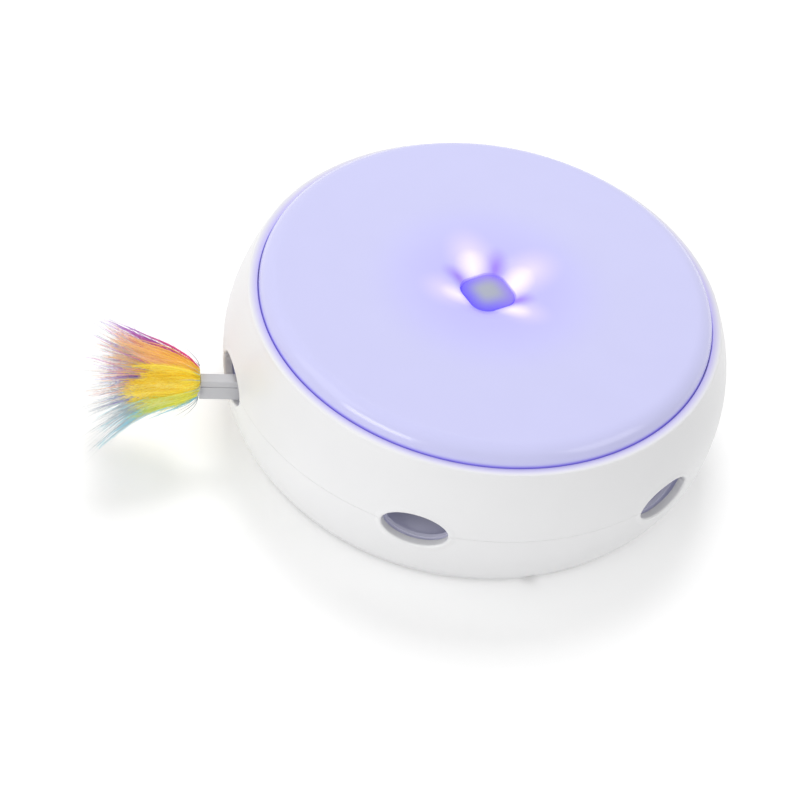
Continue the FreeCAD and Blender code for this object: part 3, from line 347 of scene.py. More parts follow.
@dataclass
class Casing:
    """White casing in two shells, with six oval windows. Sizes in millimetres."""

    body_radius: float = 87.5
    belt_z: float = 30.4
    base_z: float = 1.0
    base_edge_radius: float = 78.0
    lower_bulge: float = 2.75
    rim_radius: float = 81.1
    rim_z: float = 55.6
    upper_bulge: float = 1.8
    wall: float = 2.6
    floor: float = 2.2
    base_corner: float = 1.5
    rim_round: float = 0.8
    recess_radius: float = 78.15
    recess_round: float = 0.3
    ledge_z: float = 50.6
    ledge_thickness: float = 2.0
    ledge_radius: float = 69.15
    window_count: int = 6
    window_turn: float = 10.1
    window_z: float = 29.8
    window_half_width: float = 11.3
    window_half_height: float = 6.6
    lip_round: float = 0.8
    bezel_width: float = 2.0
    bezel_height: float = 0.35
    band_half: float = 17.0
    parting_gap: float = 0.09
    core_radius: float = 70.0
    core_gap: float = 0.02
    core_depth: float = 1.0
    screw_count: int = 3
    screw_turn: float = 40.1
    screw_circle: float = 77.0
    screw_head: float = 2.8
    screw_sides: int = 32
    screw_spare: float = 3.0
    across: int = 48
    up: int = 20
    patch_shares: tuple[float, ...] = (1.0, 0.84, 0.68, 0.53, 0.40, 0.28, 0.18, 0.10, 0.045, 0.0)

    def outer(self, z: float) -> float:
        """The outside radius at a height."""
        if z > self.belt_z:
            share = (z - self.belt_z) / (self.rim_z - self.belt_z)
            return self.body_radius - (self.body_radius - self.rim_radius) * share ** self.upper_bulge
        share = (self.belt_z - z) / (self.belt_z - self.base_z)
        return self.body_radius - (self.body_radius - self.base_edge_radius) * share ** self.lower_bulge

    def inner(self, z: float) -> float:
        """The inside radius at a height."""
        return self.outer(z) - self.wall

    def around(self, path: list[Pair]) -> list[Ring]:
        """Turns a path of radius and height into full rings, in step with the window patches."""
        count = self.window_count * self.across
        start = math.radians(180 + self.window_turn - 180 / self.window_count)
        return [[polar(radius, start + TAU * i / count, z) for i in range(count)] for radius, z in path]

    def patch_edge(self) -> list[Pair]:
        """Points round one patch's edge, as angle in radians and height."""
        half = math.pi / self.window_count
        low, high = self.window_z - self.band_half, self.window_z + self.band_half
        points = [(half, z) for z in steps(low, high, self.up)[:-1]]
        points += [(turn, high) for turn in steps(half, -half, self.across)[:-1]]
        points += [(-half, z) for z in steps(high, low, self.up)[:-1]]
        points += [(turn, low) for turn in steps(-half, half, self.across)[:-1]]
        return points

    def oval(self, angle: float, spread: float) -> Pair:
        """A point of the window's oval, widened by a spread, as sideways place and height."""
        return ((self.window_half_width + spread) * math.cos(angle),
                self.window_z + (self.window_half_height + spread) * math.sin(angle))

    def patch(self, rows: Rows, azimuth: float, outside: bool) -> list[int]:
        """Makes one sixth of the skin round a window.

        Args:
            rows: Where the faces go.
            azimuth: The window's direction in radians.
            outside: True for the outer skin with its rounded lip.

        Returns:
            The numbers of the innermost row, at the window's wall.
        """
        radius = self.outer if outside else self.inner
        edge = self.patch_edge()
        half = math.pi / self.window_count
        angles = [math.atan2((z - self.window_z) / self.band_half, turn / half) for turn, z in edge]
        spread = self.lip_round + self.bezel_width if outside else 0.0
        rings = []
        for share in self.patch_shares:
            ring = []
            for (turn, z_edge), angle in zip(edge, angles):
                sideways, z_lip = self.oval(angle, spread)
                z = z_lip + (z_edge - z_lip) * share
                lip_turn = math.asin(sideways / radius(z_lip))
                ring.append(polar(radius(z), azimuth + (lip_turn + (turn - lip_turn) * share), z))
            rings.append(ring)
        for out, lift in self.lip_path() if outside else ():
            ring = []
            for angle in angles:
                sideways, z = self.oval(angle, out)
                depth = math.sqrt(radius(z) ** 2 - sideways ** 2) + lift
                ring.append((depth * math.cos(azimuth) - sideways * math.sin(azimuth),
                             depth * math.sin(azimuth) + sideways * math.cos(azimuth), z))
            rings.append(ring)
        return rows.sweep(rings)

    def lip_path(self) -> list[Pair]:
        """Gives the raised bezel and the rounded lip, as spread from the window's wall and lift."""
        path = [(self.lip_round + self.bezel_width * (1 - share),
                 self.bezel_height * (1 - math.cos(math.pi * share)) / 2) for share in steps(0, 1, 8)[1:]]
        for angle in steps(0, 90, 6)[1:]:
            bend = math.radians(angle)
            path.append((self.lip_round * (1 - math.sin(bend)),
                         self.bezel_height - self.lip_round * (1 - math.cos(bend))))
        return path

    def top_path(self) -> list[Pair]:
        """Radius and height from the outer skin's band over the rim and ledge to the inner skin."""
        high = self.window_z + self.band_half
        start = self.rim_z - self.rim_round
        path = [(self.outer(z), z) for z in steps(high, start, 6)]
        path += arc((self.outer(start) - self.rim_round, start), self.rim_round, 0, 90, 6)[1:]
        corner = (self.recess_radius + self.recess_round, self.rim_z - self.recess_round)
        path += arc(corner, self.recess_round, 90, 180, 4)
        under = self.ledge_z - self.ledge_thickness
        path += [(self.recess_radius, self.ledge_z), (self.ledge_radius, self.ledge_z),
                 (self.ledge_radius, under), (self.inner(under), under), (self.inner(high), high)]
        return path

    def bottom_path(self) -> list[Pair]:
        """Radius and height from the outer skin's band under the floor, to the core and back inside."""
        low = self.window_z - self.band_half
        corner_z = self.base_z + self.base_corner
        floor_top = self.base_z + self.floor
        path = [(self.outer(z), z) for z in steps(low, corner_z, 10)]
        path += arc((self.outer(corner_z) - self.base_corner, corner_z), self.base_corner, 0, -90, 6)[1:]
        path += [(self.core_radius, self.base_z), (self.core_radius, floor_top)]
        return path + [(self.inner(z), z) for z in steps(floor_top, low, 6)]

    def whole(self) -> Object:
        """Makes both shells as one closed mesh."""
        rows = Rows()
        for i in range(self.window_count):
            azimuth = math.radians(180 + self.window_turn + i * 360 / self.window_count)
            rows.bridge(self.patch(rows, azimuth, True), self.patch(rows, azimuth, False))
        for path in (self.top_path(), self.bottom_path()):
            rows.sweep(self.around(path))
        return rows.object("casing_whole")

    def half(self, whole: Object, name: str, above: bool) -> Object:
        """Makes one shell: the whole cut at the belt and closed there.

        Args:
            whole: The casing in one piece.
            name: The new object's name.
            above: True for the upper shell.

        Returns:
            The shell's object.
        """
        work = working(whole.data)
        side = 1 if above else -1
        level = (self.belt_z + side * self.parting_gap / 2) * MM
        bmesh.ops.bisect_plane(work, geom=work.verts[:] + work.edges[:] + work.faces[:], dist=1e-7,
                               plane_co=(0, 0, level), plane_no=(0, 0, -side), clear_outer=True)
        rim = [edge for edge in work.edges if edge.is_boundary]
        bmesh.ops.triangle_fill(work, edges=rim, use_beauty=True)
        return solid(work, name)

    def core_space(self, above: bool) -> Object:
        """Makes the room inside the skins, which bounds what is taken from a packed shell.

        Args:
            above: True for the upper shell's room.

        Returns:
            The room as a closed mesh object.
        """
        low, high = self.base_z + self.floor, self.belt_z
        under = self.base_z - self.core_depth
        path = [(0.0, under), (self.core_radius, under), (self.core_radius, low)]
        if above:
            low, high = self.belt_z, self.ledge_z - self.ledge_thickness - self.core_gap
            path = [(0.0, low)]
        path += [(self.inner(z) - self.core_gap, z) for z in steps(low, high, 12)]
        rows = Rows()
        rows.sweep(self.around(path + [(0.0, high)]))
        return rows.object("core_space")

    def add_core(self, shell: Object, node: str, above: bool) -> None:
        """Joins to a shell the floor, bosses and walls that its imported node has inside.

        Args:
            shell: The shell's object.
            node: The node's name.
            above: True for the upper shell.
        """
        core = solid(working(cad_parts[node].data), node + "_core", NODE_WELD)
        cut(core, [self.core_space(above)], "INTERSECT")
        work = working(shell.data, core.data)
        work.to_mesh(shell.data)
        work.free()
        smooth(shell.data)
        bpy.data.objects.remove(core)

    def screw_cutters(self) -> list[Object]:
        """Makes the holes for the three casing screws' heads, through the floor's ring."""
        cutters = []
        low, high = self.base_z - self.screw_spare, self.base_z + self.floor + self.screw_spare
        for i in range(self.screw_count):
            angle = math.radians(self.screw_turn + i * 360 / self.screw_count)
            x, y, _ = polar(self.screw_circle, angle, 0.0)
            turns = [TAU * k / self.screw_sides for k in range(self.screw_sides)]
            rows = Rows()
            rows.sweep([[(x + radius * math.cos(t), y + radius * math.sin(t), z) for t in turns]
                        for radius, z in ((0.0, low), (self.screw_head, low), (self.screw_head, high), (0.0, high))])
            cutters.append(rows.object("screw_cutter"))
        return cutters

    def build(self, finish: "CasingFinish") -> list[Object]:
        """Makes and dresses both shells.

        Args:
            finish: The shells' finish.

        Returns:
            The two shells.
        """
        whole = self.whole()
        upper = self.half(whole, "casing_upper_shell", True)
        lower = self.half(whole, "casing_lower_shell", False)
        bpy.data.objects.remove(whole)
        cut(lower, self.screw_cutters(), "DIFFERENCE")
        self.add_core(upper, "upper_casing", True)
        self.add_core(lower, "lower_casing", False)
        material = finish.make()
        for piece, node in ((upper, "upper_casing"), (lower, "lower_casing")):
            dress(piece, material)
            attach(piece, "root")
            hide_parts(node)
        return [upper, lower]


@dataclass(frozen=True)
class CasingFinish(Finish):
    """Satin moulded ABS, with the cover's light spilling on the rim beside it."""

    spill_colour: str = "CFC9F6"
    spill_reach: Pair = (78.0, 81.6)
    spill_low: float = 54.5

    def paint(self, tree: Tree, surface: Node, place: Socket) -> tuple | Socket:
        """Paints the lilac spill by distance from the axis."""
        reach, height = from_axis(tree, place)
        near, far = self.spill_reach
        fade = remap(tree, reach, (near * MM, far * MM), (1.0, 0.0), True)
        amount = maths(tree, "MULTIPLY", fade, maths(tree, "GREATER_THAN", height, self.spill_low * MM))
        return blend(tree, amount, linear(self.colour), linear(self.spill_colour))


def rounded_square(angle: float, half: float, corner: float) -> float:
    """Gives the distance from the centre to a rounded square's edge.

    Args:
        angle: Direction in radians, 0 across a flat side.
        half: Half the side.
        corner: The corner's radius.

    Returns:
        The distance.
    """
    fold = abs((angle + math.pi / 4) % (math.pi / 2) - math.pi / 4)
    flat_end = half - corner
    if half * math.tan(fold) <= flat_end:
        return half / math.cos(fold)
    along = flat_end * (math.cos(fold) + math.sin(fold))
    return along + math.sqrt(max(0.0, along * along - 2 * flat_end * flat_end + corner * corner))


@dataclass
class Cover:
    """Milky cover with a rounded edge, a dish and a square well. Sizes in millimetres."""

    radius: float = 77.8
    rounding: float = 6.2
    wall: float = 2.2
    rim_z: float = 55.6
    skirt_low: float = 50.6
    skirt_edge: float = 0.3
    skirt_turn: float = 1.0
    well_half: float = 8.6
    well_corner: float = 5.85
    well_wall: float = 1.4
    well_low: float = 56.5
    lip_round: float = 0.3
    dish_reach: float = 8.6
    dish_depth: float = 3.0
    turn: float = 25.1
    columns: int = 288
    top_radii: tuple[float, ...] = (21.0, 25.0, 32.0, 42.0, 52.0, 62.0, 68.0, 70.6)
    under_radii: tuple[float, ...] = (40.0, 21.0)

    def plateau(self) -> float:
        """Height of the flat top."""
        return self.rim_z + self.rounding

    def bend(self) -> float:
        """Radius of the dish's curve."""
        return (self.dish_reach ** 2 + self.dish_depth ** 2) / (2 * self.dish_depth)

    def dish(self, spread: float) -> float:
        """Height of the dish at a distance outside the well's wall."""
        inward = max(0.0, self.dish_reach - spread)
        return self.plateau() - self.bend() + math.sqrt(self.bend() ** 2 - inward ** 2)

    def lip(self) -> list[Pair]:
        """The well's rounded lip, as distance outside the wall and height."""
        slope = math.asin(self.dish_reach / self.bend())
        start = self.lip_round * (1 - math.sin(slope))
        centre = (self.lip_round, self.dish(start) - self.lip_round * math.cos(slope))
        return arc(centre, self.lip_round, 180, 90 + math.degrees(slope), 5)

    def square(self, spread: float, z: float) -> Ring:
        """A ring on the well's rounded square, widened by a spread."""
        angles = [TAU * i / self.columns for i in range(self.columns)]
        return [polar(rounded_square(angle, self.well_half + spread, self.well_corner + spread),
                      angle + math.radians(self.turn), z) for angle in angles]

    def circle(self, radius: float, z: float) -> Ring:
        """A round ring in step with the square ones."""
        turn = math.radians(self.turn)
        return [polar(radius, TAU * i / self.columns + turn, z) for i in range(self.columns)]

    def rows(self) -> list[Ring]:
        """Gives all the rings, once round the cover's section."""
        top, flat, inside = self.plateau(), self.radius - self.rounding, self.radius - self.wall
        spreads = steps(0, self.dish_reach, 18)[1:]
        rings = [self.square(0.0, self.well_low)] + [self.square(*point) for point in self.lip()]
        rings += [self.square(spread, self.dish(spread)) for spread in spreads]
        round_path = [(radius, top) for radius in self.top_radii]
        round_path += arc((flat, self.rim_z), self.rounding, 90, 0, 18)
        round_path += [(self.radius, self.rim_z - self.skirt_turn),
                       (self.radius, self.skirt_low + self.skirt_edge),
                       (self.radius - self.skirt_edge, self.skirt_low),
                       (inside, self.skirt_low), (inside, self.rim_z)]
        round_path += arc((flat, self.rim_z), self.rounding - self.wall, 0, 90, 8)[1:]
        round_path += [(radius, top - self.wall) for radius in self.under_radii]
        rings += [self.circle(*point) for point in round_path]
        rings += [self.square(spread, self.dish(spread) - self.wall)
                  for spread in reversed(spreads) if spread > self.well_wall]
        return rings + [self.square(self.well_wall, self.dish(self.well_wall) - self.wall),
                        self.square(self.well_wall, self.well_low)]

    def build(self, finish: "CoverFinish") -> list[Object]:
        """Makes and dresses the cover."""
        rows = Rows()
        rows.sweep(self.rows(), True)
        piece = rows.object("lit_cover")
        dress(piece, finish.make())
        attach(piece, "root")
        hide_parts("top_cover")
        return [piece]


@dataclass(frozen=True)
class Glow:
    """One soft patch of light or shade on the cover. Millimetres, and degrees from +X."""

    x: float
    y: float
    turn: float
    length: float
    width: float
    amount: float
    power: float = 1.5


@dataclass(frozen=True)
class CoverFinish(Finish):
    """Milky acrylic lit from below: lilac, with a white patch over each lamp. Sizes in millimetres."""

    # Painted light: the lilac is deeper near the button and paler towards the edge, as the lamps below light it.
    middle_colour: str = "C2BEFF"
    edge_colour: str = "CFCFF8"
    # Painted light and shade: a darker violet, with a glow, on the skirt at the gap to the casing and on the well's
    # walls.
    violet_glow_shade_colour: str = "8F84EA"
    lamp_colour: str = "FFFBFF"
    halo_colour: str = "DCC4FF"
    shade_colour: str = "A082FA"
    top_z: float = 61.8
    reaches: Pair = (10.0, 46.0)
    skirt_heights: Pair = (56.9, 55.2)
    well_heights: Pair = (58.9, 58.3)
    well_reach: float = 12.0
    well_share: float = 0.6
    halo_at: float = 0.6
    inner_strength: float = 0.06
    outer_strength: float = 0.02
    lamp_strength: float = 0.12
    well_strength: float = 0.45
    skirt_strength: float = 0.14
    shade_over_lamps: float = 0.6
    lamps: tuple[Glow, ...] = (
        Glow(-4.2, 9.4, 97.0, 9.0, 7.0, 0.64, 1.2),
        Glow(-4.8, 14.5, 97.0, 16.0, 10.5, 0.46),
        Glow(9.6, 3.2, 52.0, 8.5, 6.6, 0.74, 1.2),
        Glow(14.5, 7.6, 42.0, 16.0, 11.0, 0.46),
        Glow(-10.6, -3.6, 160.0, 7.0, 5.8, 0.55, 1.2),
        Glow(-14.5, -2.6, 150.0, 12.0, 9.0, 0.36),
        Glow(7.0, -10.6, 330.0, 7.0, 4.8, 0.60, 1.2),
        Glow(10.5, -12.0, 345.0, 11.0, 7.5, 0.32),
    )
    shades: tuple[Glow, ...] = (
        Glow(3.6, 10.6, 80.0, 10.0, 5.6, 1.15),
        Glow(-9.3, 5.6, 150.0, 8.0, 4.6, 1.2),
        Glow(9.6, -4.6, 345.0, 7.0, 5.0, 1.3),
        Glow(-3.6, -11.6, 250.0, 5.0, 9.0, 0.4),
    )

    def patches(self, tree: Tree, place: Socket, glows: tuple[Glow, ...]) -> Socket:
        """Adds up soft patches, from 0 to 1.

        Args:
            tree: The material's tree.
            place: Object coordinates.
            glows: The patches.

        Returns:
            The socket with their clamped sum.
        """
        total = 0.0
        for glow in glows:
            spot = add_node(tree, "ShaderNodeMapping", {"vector_type": "TEXTURE"}, {
                "Vector": place, "Location": (glow.x * MM, glow.y * MM, self.top_z * MM),
                "Rotation": (0.0, 0.0, math.radians(glow.turn)),
                "Scale": (glow.length * MM, glow.width * MM, 1.0)})
            soft = add_node(tree, "ShaderNodeTexGradient", {"gradient_type": "SPHERICAL"}, {
                "Vector": spot.outputs["Vector"]}).outputs["Fac"]
            total = maths(tree, "MULTIPLY_ADD", maths(tree, "POWER", soft, glow.power), glow.amount, total)
        return add_node(tree, "ShaderNodeClamp", None, {"Value": total}).outputs["Result"]

    def paint(self, tree: Tree, surface: Node, place: Socket) -> tuple | Socket:
        """Paints the lamps' light and shade into colour and glow: lilac by distance from the button, then shades,
        halos, lamps, the violet skirt and the lit well.

        Args:
            tree: The material's tree.
            surface: The Principled node, whose glow is set.
            place: Object coordinates.

        Returns:
            The colour.
        """
        reach, height = from_axis(tree, place)
        outward, skirt, well = (remap(tree, value, (start * MM, end * MM), smooth=soft)
                                for value, (start, end), soft in (
                                    (reach, self.reaches, True), (height, self.skirt_heights, True),
                                    (height, self.well_heights, False)))
        well = maths(tree, "MULTIPLY", well, maths(tree, "LESS_THAN", reach, self.well_reach * MM))
        shades = self.patches(tree, place, self.shades)
        unshaded = remap(tree, shades, (0.0, 1.0), (1.0, 1.0 - self.shade_over_lamps))
        light = maths(tree, "MULTIPLY", self.patches(tree, place, self.lamps), unshaded)
        colour = linear(self.middle_colour)
        for factor, layer in (
                (outward, self.edge_colour), (skirt, self.violet_glow_shade_colour), (shades, self.shade_colour),
                (remap(tree, light, (0.0, self.halo_at)), self.halo_colour), (light, self.lamp_colour),
                (maths(tree, "MULTIPLY", well, self.well_share), self.violet_glow_shade_colour)):
            colour = blend(tree, factor, colour, linear(layer))
        # Painted light: the glow is stronger near the middle, and grows over the lamps, in the well and on the
        # skirt.
        glow = remap(tree, outward, (0.0, 1.0), (self.inner_strength, self.outer_strength))
        for amount, strength in (
                (light, self.lamp_strength), (well, self.well_strength), (skirt, self.skirt_strength)):
            glow = maths(tree, "MULTIPLY_ADD", amount, strength, glow)
        feed(tree, surface, {"Emission Color": colour, "Emission Strength": glow})
        return colour


@dataclass
class Button:
    """Rounded square button with a domed top. Sizes in millimetres."""

    half: float = 8.25
    corner: float = 5.5
    top: float = 59.5
    dome: float = 1.0
    low: float = 55.6
    flange: float = 1.3
    flange_high: float = 56.4
    skin: float = 1.2
    cap: float = 1.8
    edge: float = 0.45
    turn: float = 25.1
    columns: int = 128

    def crown(self, reach: float) -> float:
        """Height of the domed top at a distance from the middle."""
        bend = (self.half ** 2 + self.dome ** 2) / (2 * self.dome)
        return self.top - bend + math.sqrt(bend ** 2 - reach ** 2)

    def ring(self, z: float | None, inset: float, share: float = 1.0, drop: float = 0.0) -> Ring:
        """Makes a rounded square ring.

        Args:
            z: Height, or None to follow the dome.
            inset: How far in from the button's side.
            share: Shrinks the ring towards the middle.
            drop: How far below the dome, where z is None.

        Returns:
            The ring's points.
        """
        points = []
        for i in range(self.columns):
            angle = TAU * i / self.columns
            reach = rounded_square(angle, self.half - inset, self.corner - inset) * share
            height = self.crown(reach) - drop if z is None else z
            points.append(polar(reach, angle + math.radians(self.turn), height))
        return points

    def rows(self) -> list[Ring]:
        """Gives the rings from the top's middle down the side and up inside."""
        rings = [self.ring(None, self.edge, share) for share in steps(0, 1, 12)]
        for angle in steps(0, 90, 5)[1:]:
            bend = math.radians(angle)
            inset, drop = self.edge * (1 - math.sin(bend)), self.edge * (1 - math.cos(bend))
            rings.append(self.ring(None, inset, 1.0, drop))
        ceiling = self.top - self.cap
        return rings + [
            self.ring(self.flange_high, 0.0), self.ring(self.flange_high, -self.flange),
            self.ring(self.low, -self.flange), self.ring(self.low, self.skin),
            self.ring(ceiling, self.skin), self.ring(ceiling, self.skin, 0.0)]

    def build(self, finish: "ButtonFinish") -> list[Object]:
        """Makes and dresses the button."""
        rows = Rows()
        rows.sweep(self.rows())
        piece = rows.object("button_cap")
        dress(piece, finish.make())
        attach(piece, "button")
        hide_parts("push_button")
        return [piece]


@dataclass(frozen=True)
class ButtonFinish(Finish):
    """Translucent moulded plastic: grey green in the middle, lit violet round its edge, with painted light making
    the edge paler on one side. Millimetres.
    """

    border_colour: str = "7C6CFF"
    lit_side_border_colour: str = "9A88F2"
    lit_side_turn: float = 40.0
    lit_side_reach: float = 6.0
    reaches: Pair = (1.5, 8.2)
    side_heights: Pair = (58.1, 57.7)
    side_glow: float = 0.35
    turn: float = 25.1
    squareness: float = 3.0

    def paint(self, tree: Tree, surface: Node, place: Socket) -> tuple | Socket:
        """Paints the colours by a rounded square distance from the middle, with painted light on one flank of the
        border, and lights the side.

        Args:
            tree: The material's tree.
            surface: The Principled node, whose glow is set.
            place: Object coordinates.

        Returns:
            The colour.
        """
        turned = add_node(tree, "ShaderNodeMapping", None, {
            "Vector": place, "Rotation": (0.0, 0.0, -math.radians(self.turn))})
        parts = add_node(tree, "ShaderNodeSeparateXYZ", None, {"Vector": turned.outputs["Vector"]}).outputs
        powers = [maths(tree, "POWER", maths(tree, "ABSOLUTE", parts[axis]), self.squareness)
                  for axis in "XY"]
        reach = maths(tree, "POWER", maths(tree, "ADD", *powers), 1 / self.squareness)
        near, far = self.reaches
        # Painted light: the violet border turns paler towards one direction across the button.
        along = add_node(tree, "ShaderNodeVectorMath", {"operation": "DOT_PRODUCT"}, {
            0: place, 1: polar(1.0, math.radians(self.lit_side_turn), 0.0)}).outputs["Value"]
        lit_side_share = remap(tree, along, (-self.lit_side_reach * MM, self.lit_side_reach * MM), smooth=True)
        border = blend(tree, lit_side_share, linear(self.border_colour), linear(self.lit_side_border_colour))
        outward = remap(tree, reach, (near * MM, far * MM), smooth=True)
        colour = blend(tree, outward, linear(self.colour), border)
        high, low = self.side_heights
        side = remap(tree, parts["Z"], (high * MM, low * MM), (0.0, self.side_glow))
        feed(tree, surface, {"Emission Color": colour, "Emission Strength": side})
        return colour


@dataclass(frozen=True)
class Plume:
    """Locks of barbs of one dye. Lengths and spreads are shares of the tuft's."""

    name: str
    locks: int
    barbs: int
    colours: tuple[str, ...]
    tip_colours: tuple[str, ...]
    lengths: Pair
    spreads: Pair
    side: Pair
    width: float
    loose: float
    barbules: int = 0
    flare: float = 0.85
    trim: float = 0.35


@dataclass
class Lock:
    """The line that one lock of barbs follows."""

    azimuth: float
    reach: float
    length: float
    bend: float
    wave: float
    phase: float
    twist: float


@dataclass
class Tuft:
    """The feather tuft at the arm's end, as tapered barbs in radial sections. Sizes in millimetres."""

    root_x: float = -96.9
    axis_y: float = -19.45
    axis_z: float = 29.8
    length: float = 41.0
    root_half_width: float = 4.2
    root_half_height: float = 5.4
    spread: float = 22.5
    rise: float = 1.0
    root_rise: float = 1.4
    sections: int = 16
    steps: int = 10
    sides: int = 3
    seed: int = 11
    keep: float = 0.05
    apart: float = 0.55
    barbule_size: Pair = (1.8, 4.6)
    barbule_share: float = 0.42
    photo_up: Pair = (0.7218, 0.6918)
    plumes: tuple[Plume, ...] = (
        Plume("core", 80, 12, ("F6E042", "F4D834", "ECCC28", "F6E660"), ("F2DA50", "ECCC3C", "F4E274"),
              (0.38, 0.68), (0.0, 0.62), (-1.0, 1.0), 0.26, 2.4, 6, 0.95),
        Plume("flank", 96, 12, ("F6E040", "F6E24A", "ECCA2A", "F6E866"), ("F2DC54", "ECCE42", "F4E47C"),
              (0.34, 0.68), (0.40, 0.94), (-0.58, 0.42), 0.25, 2.2, 7, 0.90),
        Plume("orange", 64, 9, ("F4CC56", "F6D05A", "F2C64E", "F4D45E"), ("F2D098", "EEC496", "ECC0AC"),
              (0.42, 0.90), (0.45, 0.94), (0.30, 0.96), 0.17, 2.0, 4, 0.90),
        Plume("pink", 28, 8, ("EC6094", "E668A4", "EE7E98"), ("C472C8", "B07ACE", "A87AD2"),
              (0.30, 0.92), (0.90, 1.0), (0.94, 1.0), 0.15, 1.0, 2, 0.92),
        Plume("lime", 48, 10, ("E6E044", "DEDC50", "E8E45A"), ("D8E080", "CEDA7C", "E2E69C"),
              (0.38, 0.64), (0.66, 0.97), (-0.96, -0.50), 0.20, 2.0, 5, 0.98),
        Plume("azure", 7, 6, ("92CEE4", "A4DAEC"), ("A8DAE8", "B8E2EC"),
              (0.26, 0.50), (0.94, 1.0), (-1.0, -0.95), 0.13, 0.8, 1, 0.95),
        Plume("sky", 34, 6, ("90CEE4", "A6DAEC", "84C2E2"), ("A8DCE8", "8CCCE0", "B8E2EC"),
              (0.62, 0.98), (0.70, 1.05), (-1.0, -0.50), 0.13, 1.2, 1, 1.3),
        Plume("magenta", 34, 4, ("E06A98", "D060B4", "D87AA8"), ("B464C4", "C878C8"),
              (0.68, 1.0), (0.30, 1.05), (0.05, 1.0), 0.11, 0.8, 0, 1.35),
        Plume("violet", 34, 4, ("7E6CD0", "6470D8", "AA60C8"), ("6864D4", "9C64CC", "767CE0"),
              (0.68, 0.96), (0.10, 0.80), (-0.8, 0.5), 0.11, 0.8, 0, 1.4),
        Plume("peach", 90, 5, ("F2C26C", "F0BA80", "F0CC90"), ("ECC0A4", "DCA8B0", "ECCEB0"),
              (0.72, 1.03), (0.06, 1.0), (-0.55, 1.0), 0.11, 1.3, 0, 1.35),
        Plume("pale", 190, 5, ("C4CED4", "B4C0C8", "D4D8D6"), ("A8B4BE", "9CAAB4", "C4CCCE"),
              (0.78, 1.06), (0.06, 1.08), (-1.0, 1.0), 0.08, 1.1, 0, 1.4),
        Plume("stray", 22, 1, ("B8C0C0", "A8B2B4"), ("9CA8AC", "B4BCBE"),
              (0.05, 0.24), (0.7, 1.2), (-1.0, 1.0), 0.13, 0.2, 0, 0.75),
    )

    def axes(self) -> tuple[Vector, Vector]:
        """The two directions across the arm: up in the photograph's view, and away from it."""
        upward = Vector((0.0, *self.photo_up)).normalized()
        return upward, Vector((0.0, upward.z, -upward.y))

    def lock(self, draw: random.Random, plume: Plume) -> Lock:
        """Draws the line that one lock follows.

        Args:
            draw: The seeded source of random numbers.
            plume: The lock's group.

        Returns:
            The lock.
        """
        while True:
            azimuth = draw.uniform(0, TAU)
            if plume.side[0] <= math.sin(azimuth) <= plume.side[1]:
                break
        low, high = plume.spreads
        reach = low + (high - low) * math.sqrt(draw.random())
        length = plume.lengths[0] + (plume.lengths[1] - plume.lengths[0]) * draw.random() ** 1.3
        return Lock(azimuth, reach, length, plume.flare + draw.gauss(0, 0.10), draw.gauss(0, 0.9),
                    draw.uniform(0, TAU), draw.gauss(0, 0.12))

    def barb(self, draw: random.Random, plume: Plume, lock: Lock) -> list[Vector]:
        """Draws one barb, which starts apart from its lock's line and draws in to it at the tip.

        Args:
            draw: The seeded source of random numbers.
            plume: The barb's group.
            lock: The barb's lock.

        Returns:
            The barb's points.
        """
        upward, across = self.axes()
        outward = across * math.cos(lock.azimuth) + upward * math.sin(lock.azimuth)
        root = 0.25 + 0.75 * max(math.sqrt(draw.random()), lock.reach)
        start_y = outward.y * self.root_half_width * root
        start_z = outward.z * self.root_half_height * root
        length = lock.length * (1 - plume.trim * draw.random() ** 1.6)
        apart = Vector((0.0, draw.gauss(0, self.apart), draw.gauss(0, self.apart))) * plume.loose
        points = []
        for part in steps(0, 1, self.steps):
            share = length * part
            out = self.spread * lock.reach * share ** lock.bend
            side = lock.wave * share * math.sin(lock.phase + share * 5)
            turn = lock.azimuth + lock.twist * share
            outward = across * math.cos(turn) + upward * math.sin(turn)
            sideways = upward * math.cos(turn) - across * math.sin(turn)
            lift = self.rise * math.sin(math.pi * min(1.0, share))
            place = outward * out + sideways * side + upward * (lift + self.root_rise * (1 - 0.8 * share))
            place += apart * min(1.0, part * 2.4) * (1 - 0.72 * part)
            fade = 0.55 + 0.45 * max(0.0, 1 - share * 2.2)
            x = self.root_x - self.length * share * (1 - 0.10 * lock.reach * share)
            points.append(Vector((x, self.axis_y + place.y + start_y * fade,
                                  self.axis_z + place.z + start_z * fade)))
        return points

    def lines(self) -> list[dict]:
        """Draws every lock and sorts its barbs into their radial section.

        Returns:
            For each section, its points, edges, widths and colours.
        """
        draw = random.Random(self.seed)
        sections = [{"points": [], "edges": [], "widths": [], "dyes": []} for _ in range(self.sections)]
        for plume in self.plumes:
            for _ in range(plume.locks):
                lock = self.lock(draw, plume)
                section = sections[int(lock.azimuth / TAU * self.sections) % self.sections]
                root = linear(draw.choice(plume.colours))
                tip = linear(draw.choice(plume.tip_colours))
                for _ in range(plume.barbs):
                    self.add_barb(section, draw, plume, self.barb(draw, plume, lock), (root, tip))
        return sections

    def add_barb(self, section: dict, draw: random.Random, plume: Plume, points: list[Vector],
                 dyes: tuple[tuple, tuple]) -> None:
        """Adds one barb with its side hairs to a section.

        Args:
            section: The section's lists.
            draw: The seeded source of random numbers.
            plume: The barb's group.
            points: The barb's points.
            dyes: Its linear colours at the root and at the tip.
        """
        root, tip = dyes
        shade = draw.uniform(0.88, 1.06)
        thick = plume.width * draw.uniform(0.8, 1.2)
        self.add_line(section, points, dyes, shade, thick)
        for _ in range(plume.barbules):
            start = draw.randint(1, self.steps - 1)
            tint = [root[k] + (tip[k] - root[k]) * start / self.steps for k in range(3)]
            hair = self.barbule(draw, points, start)
            self.add_line(section, hair, (tint, tip), shade, thick * self.barbule_share)

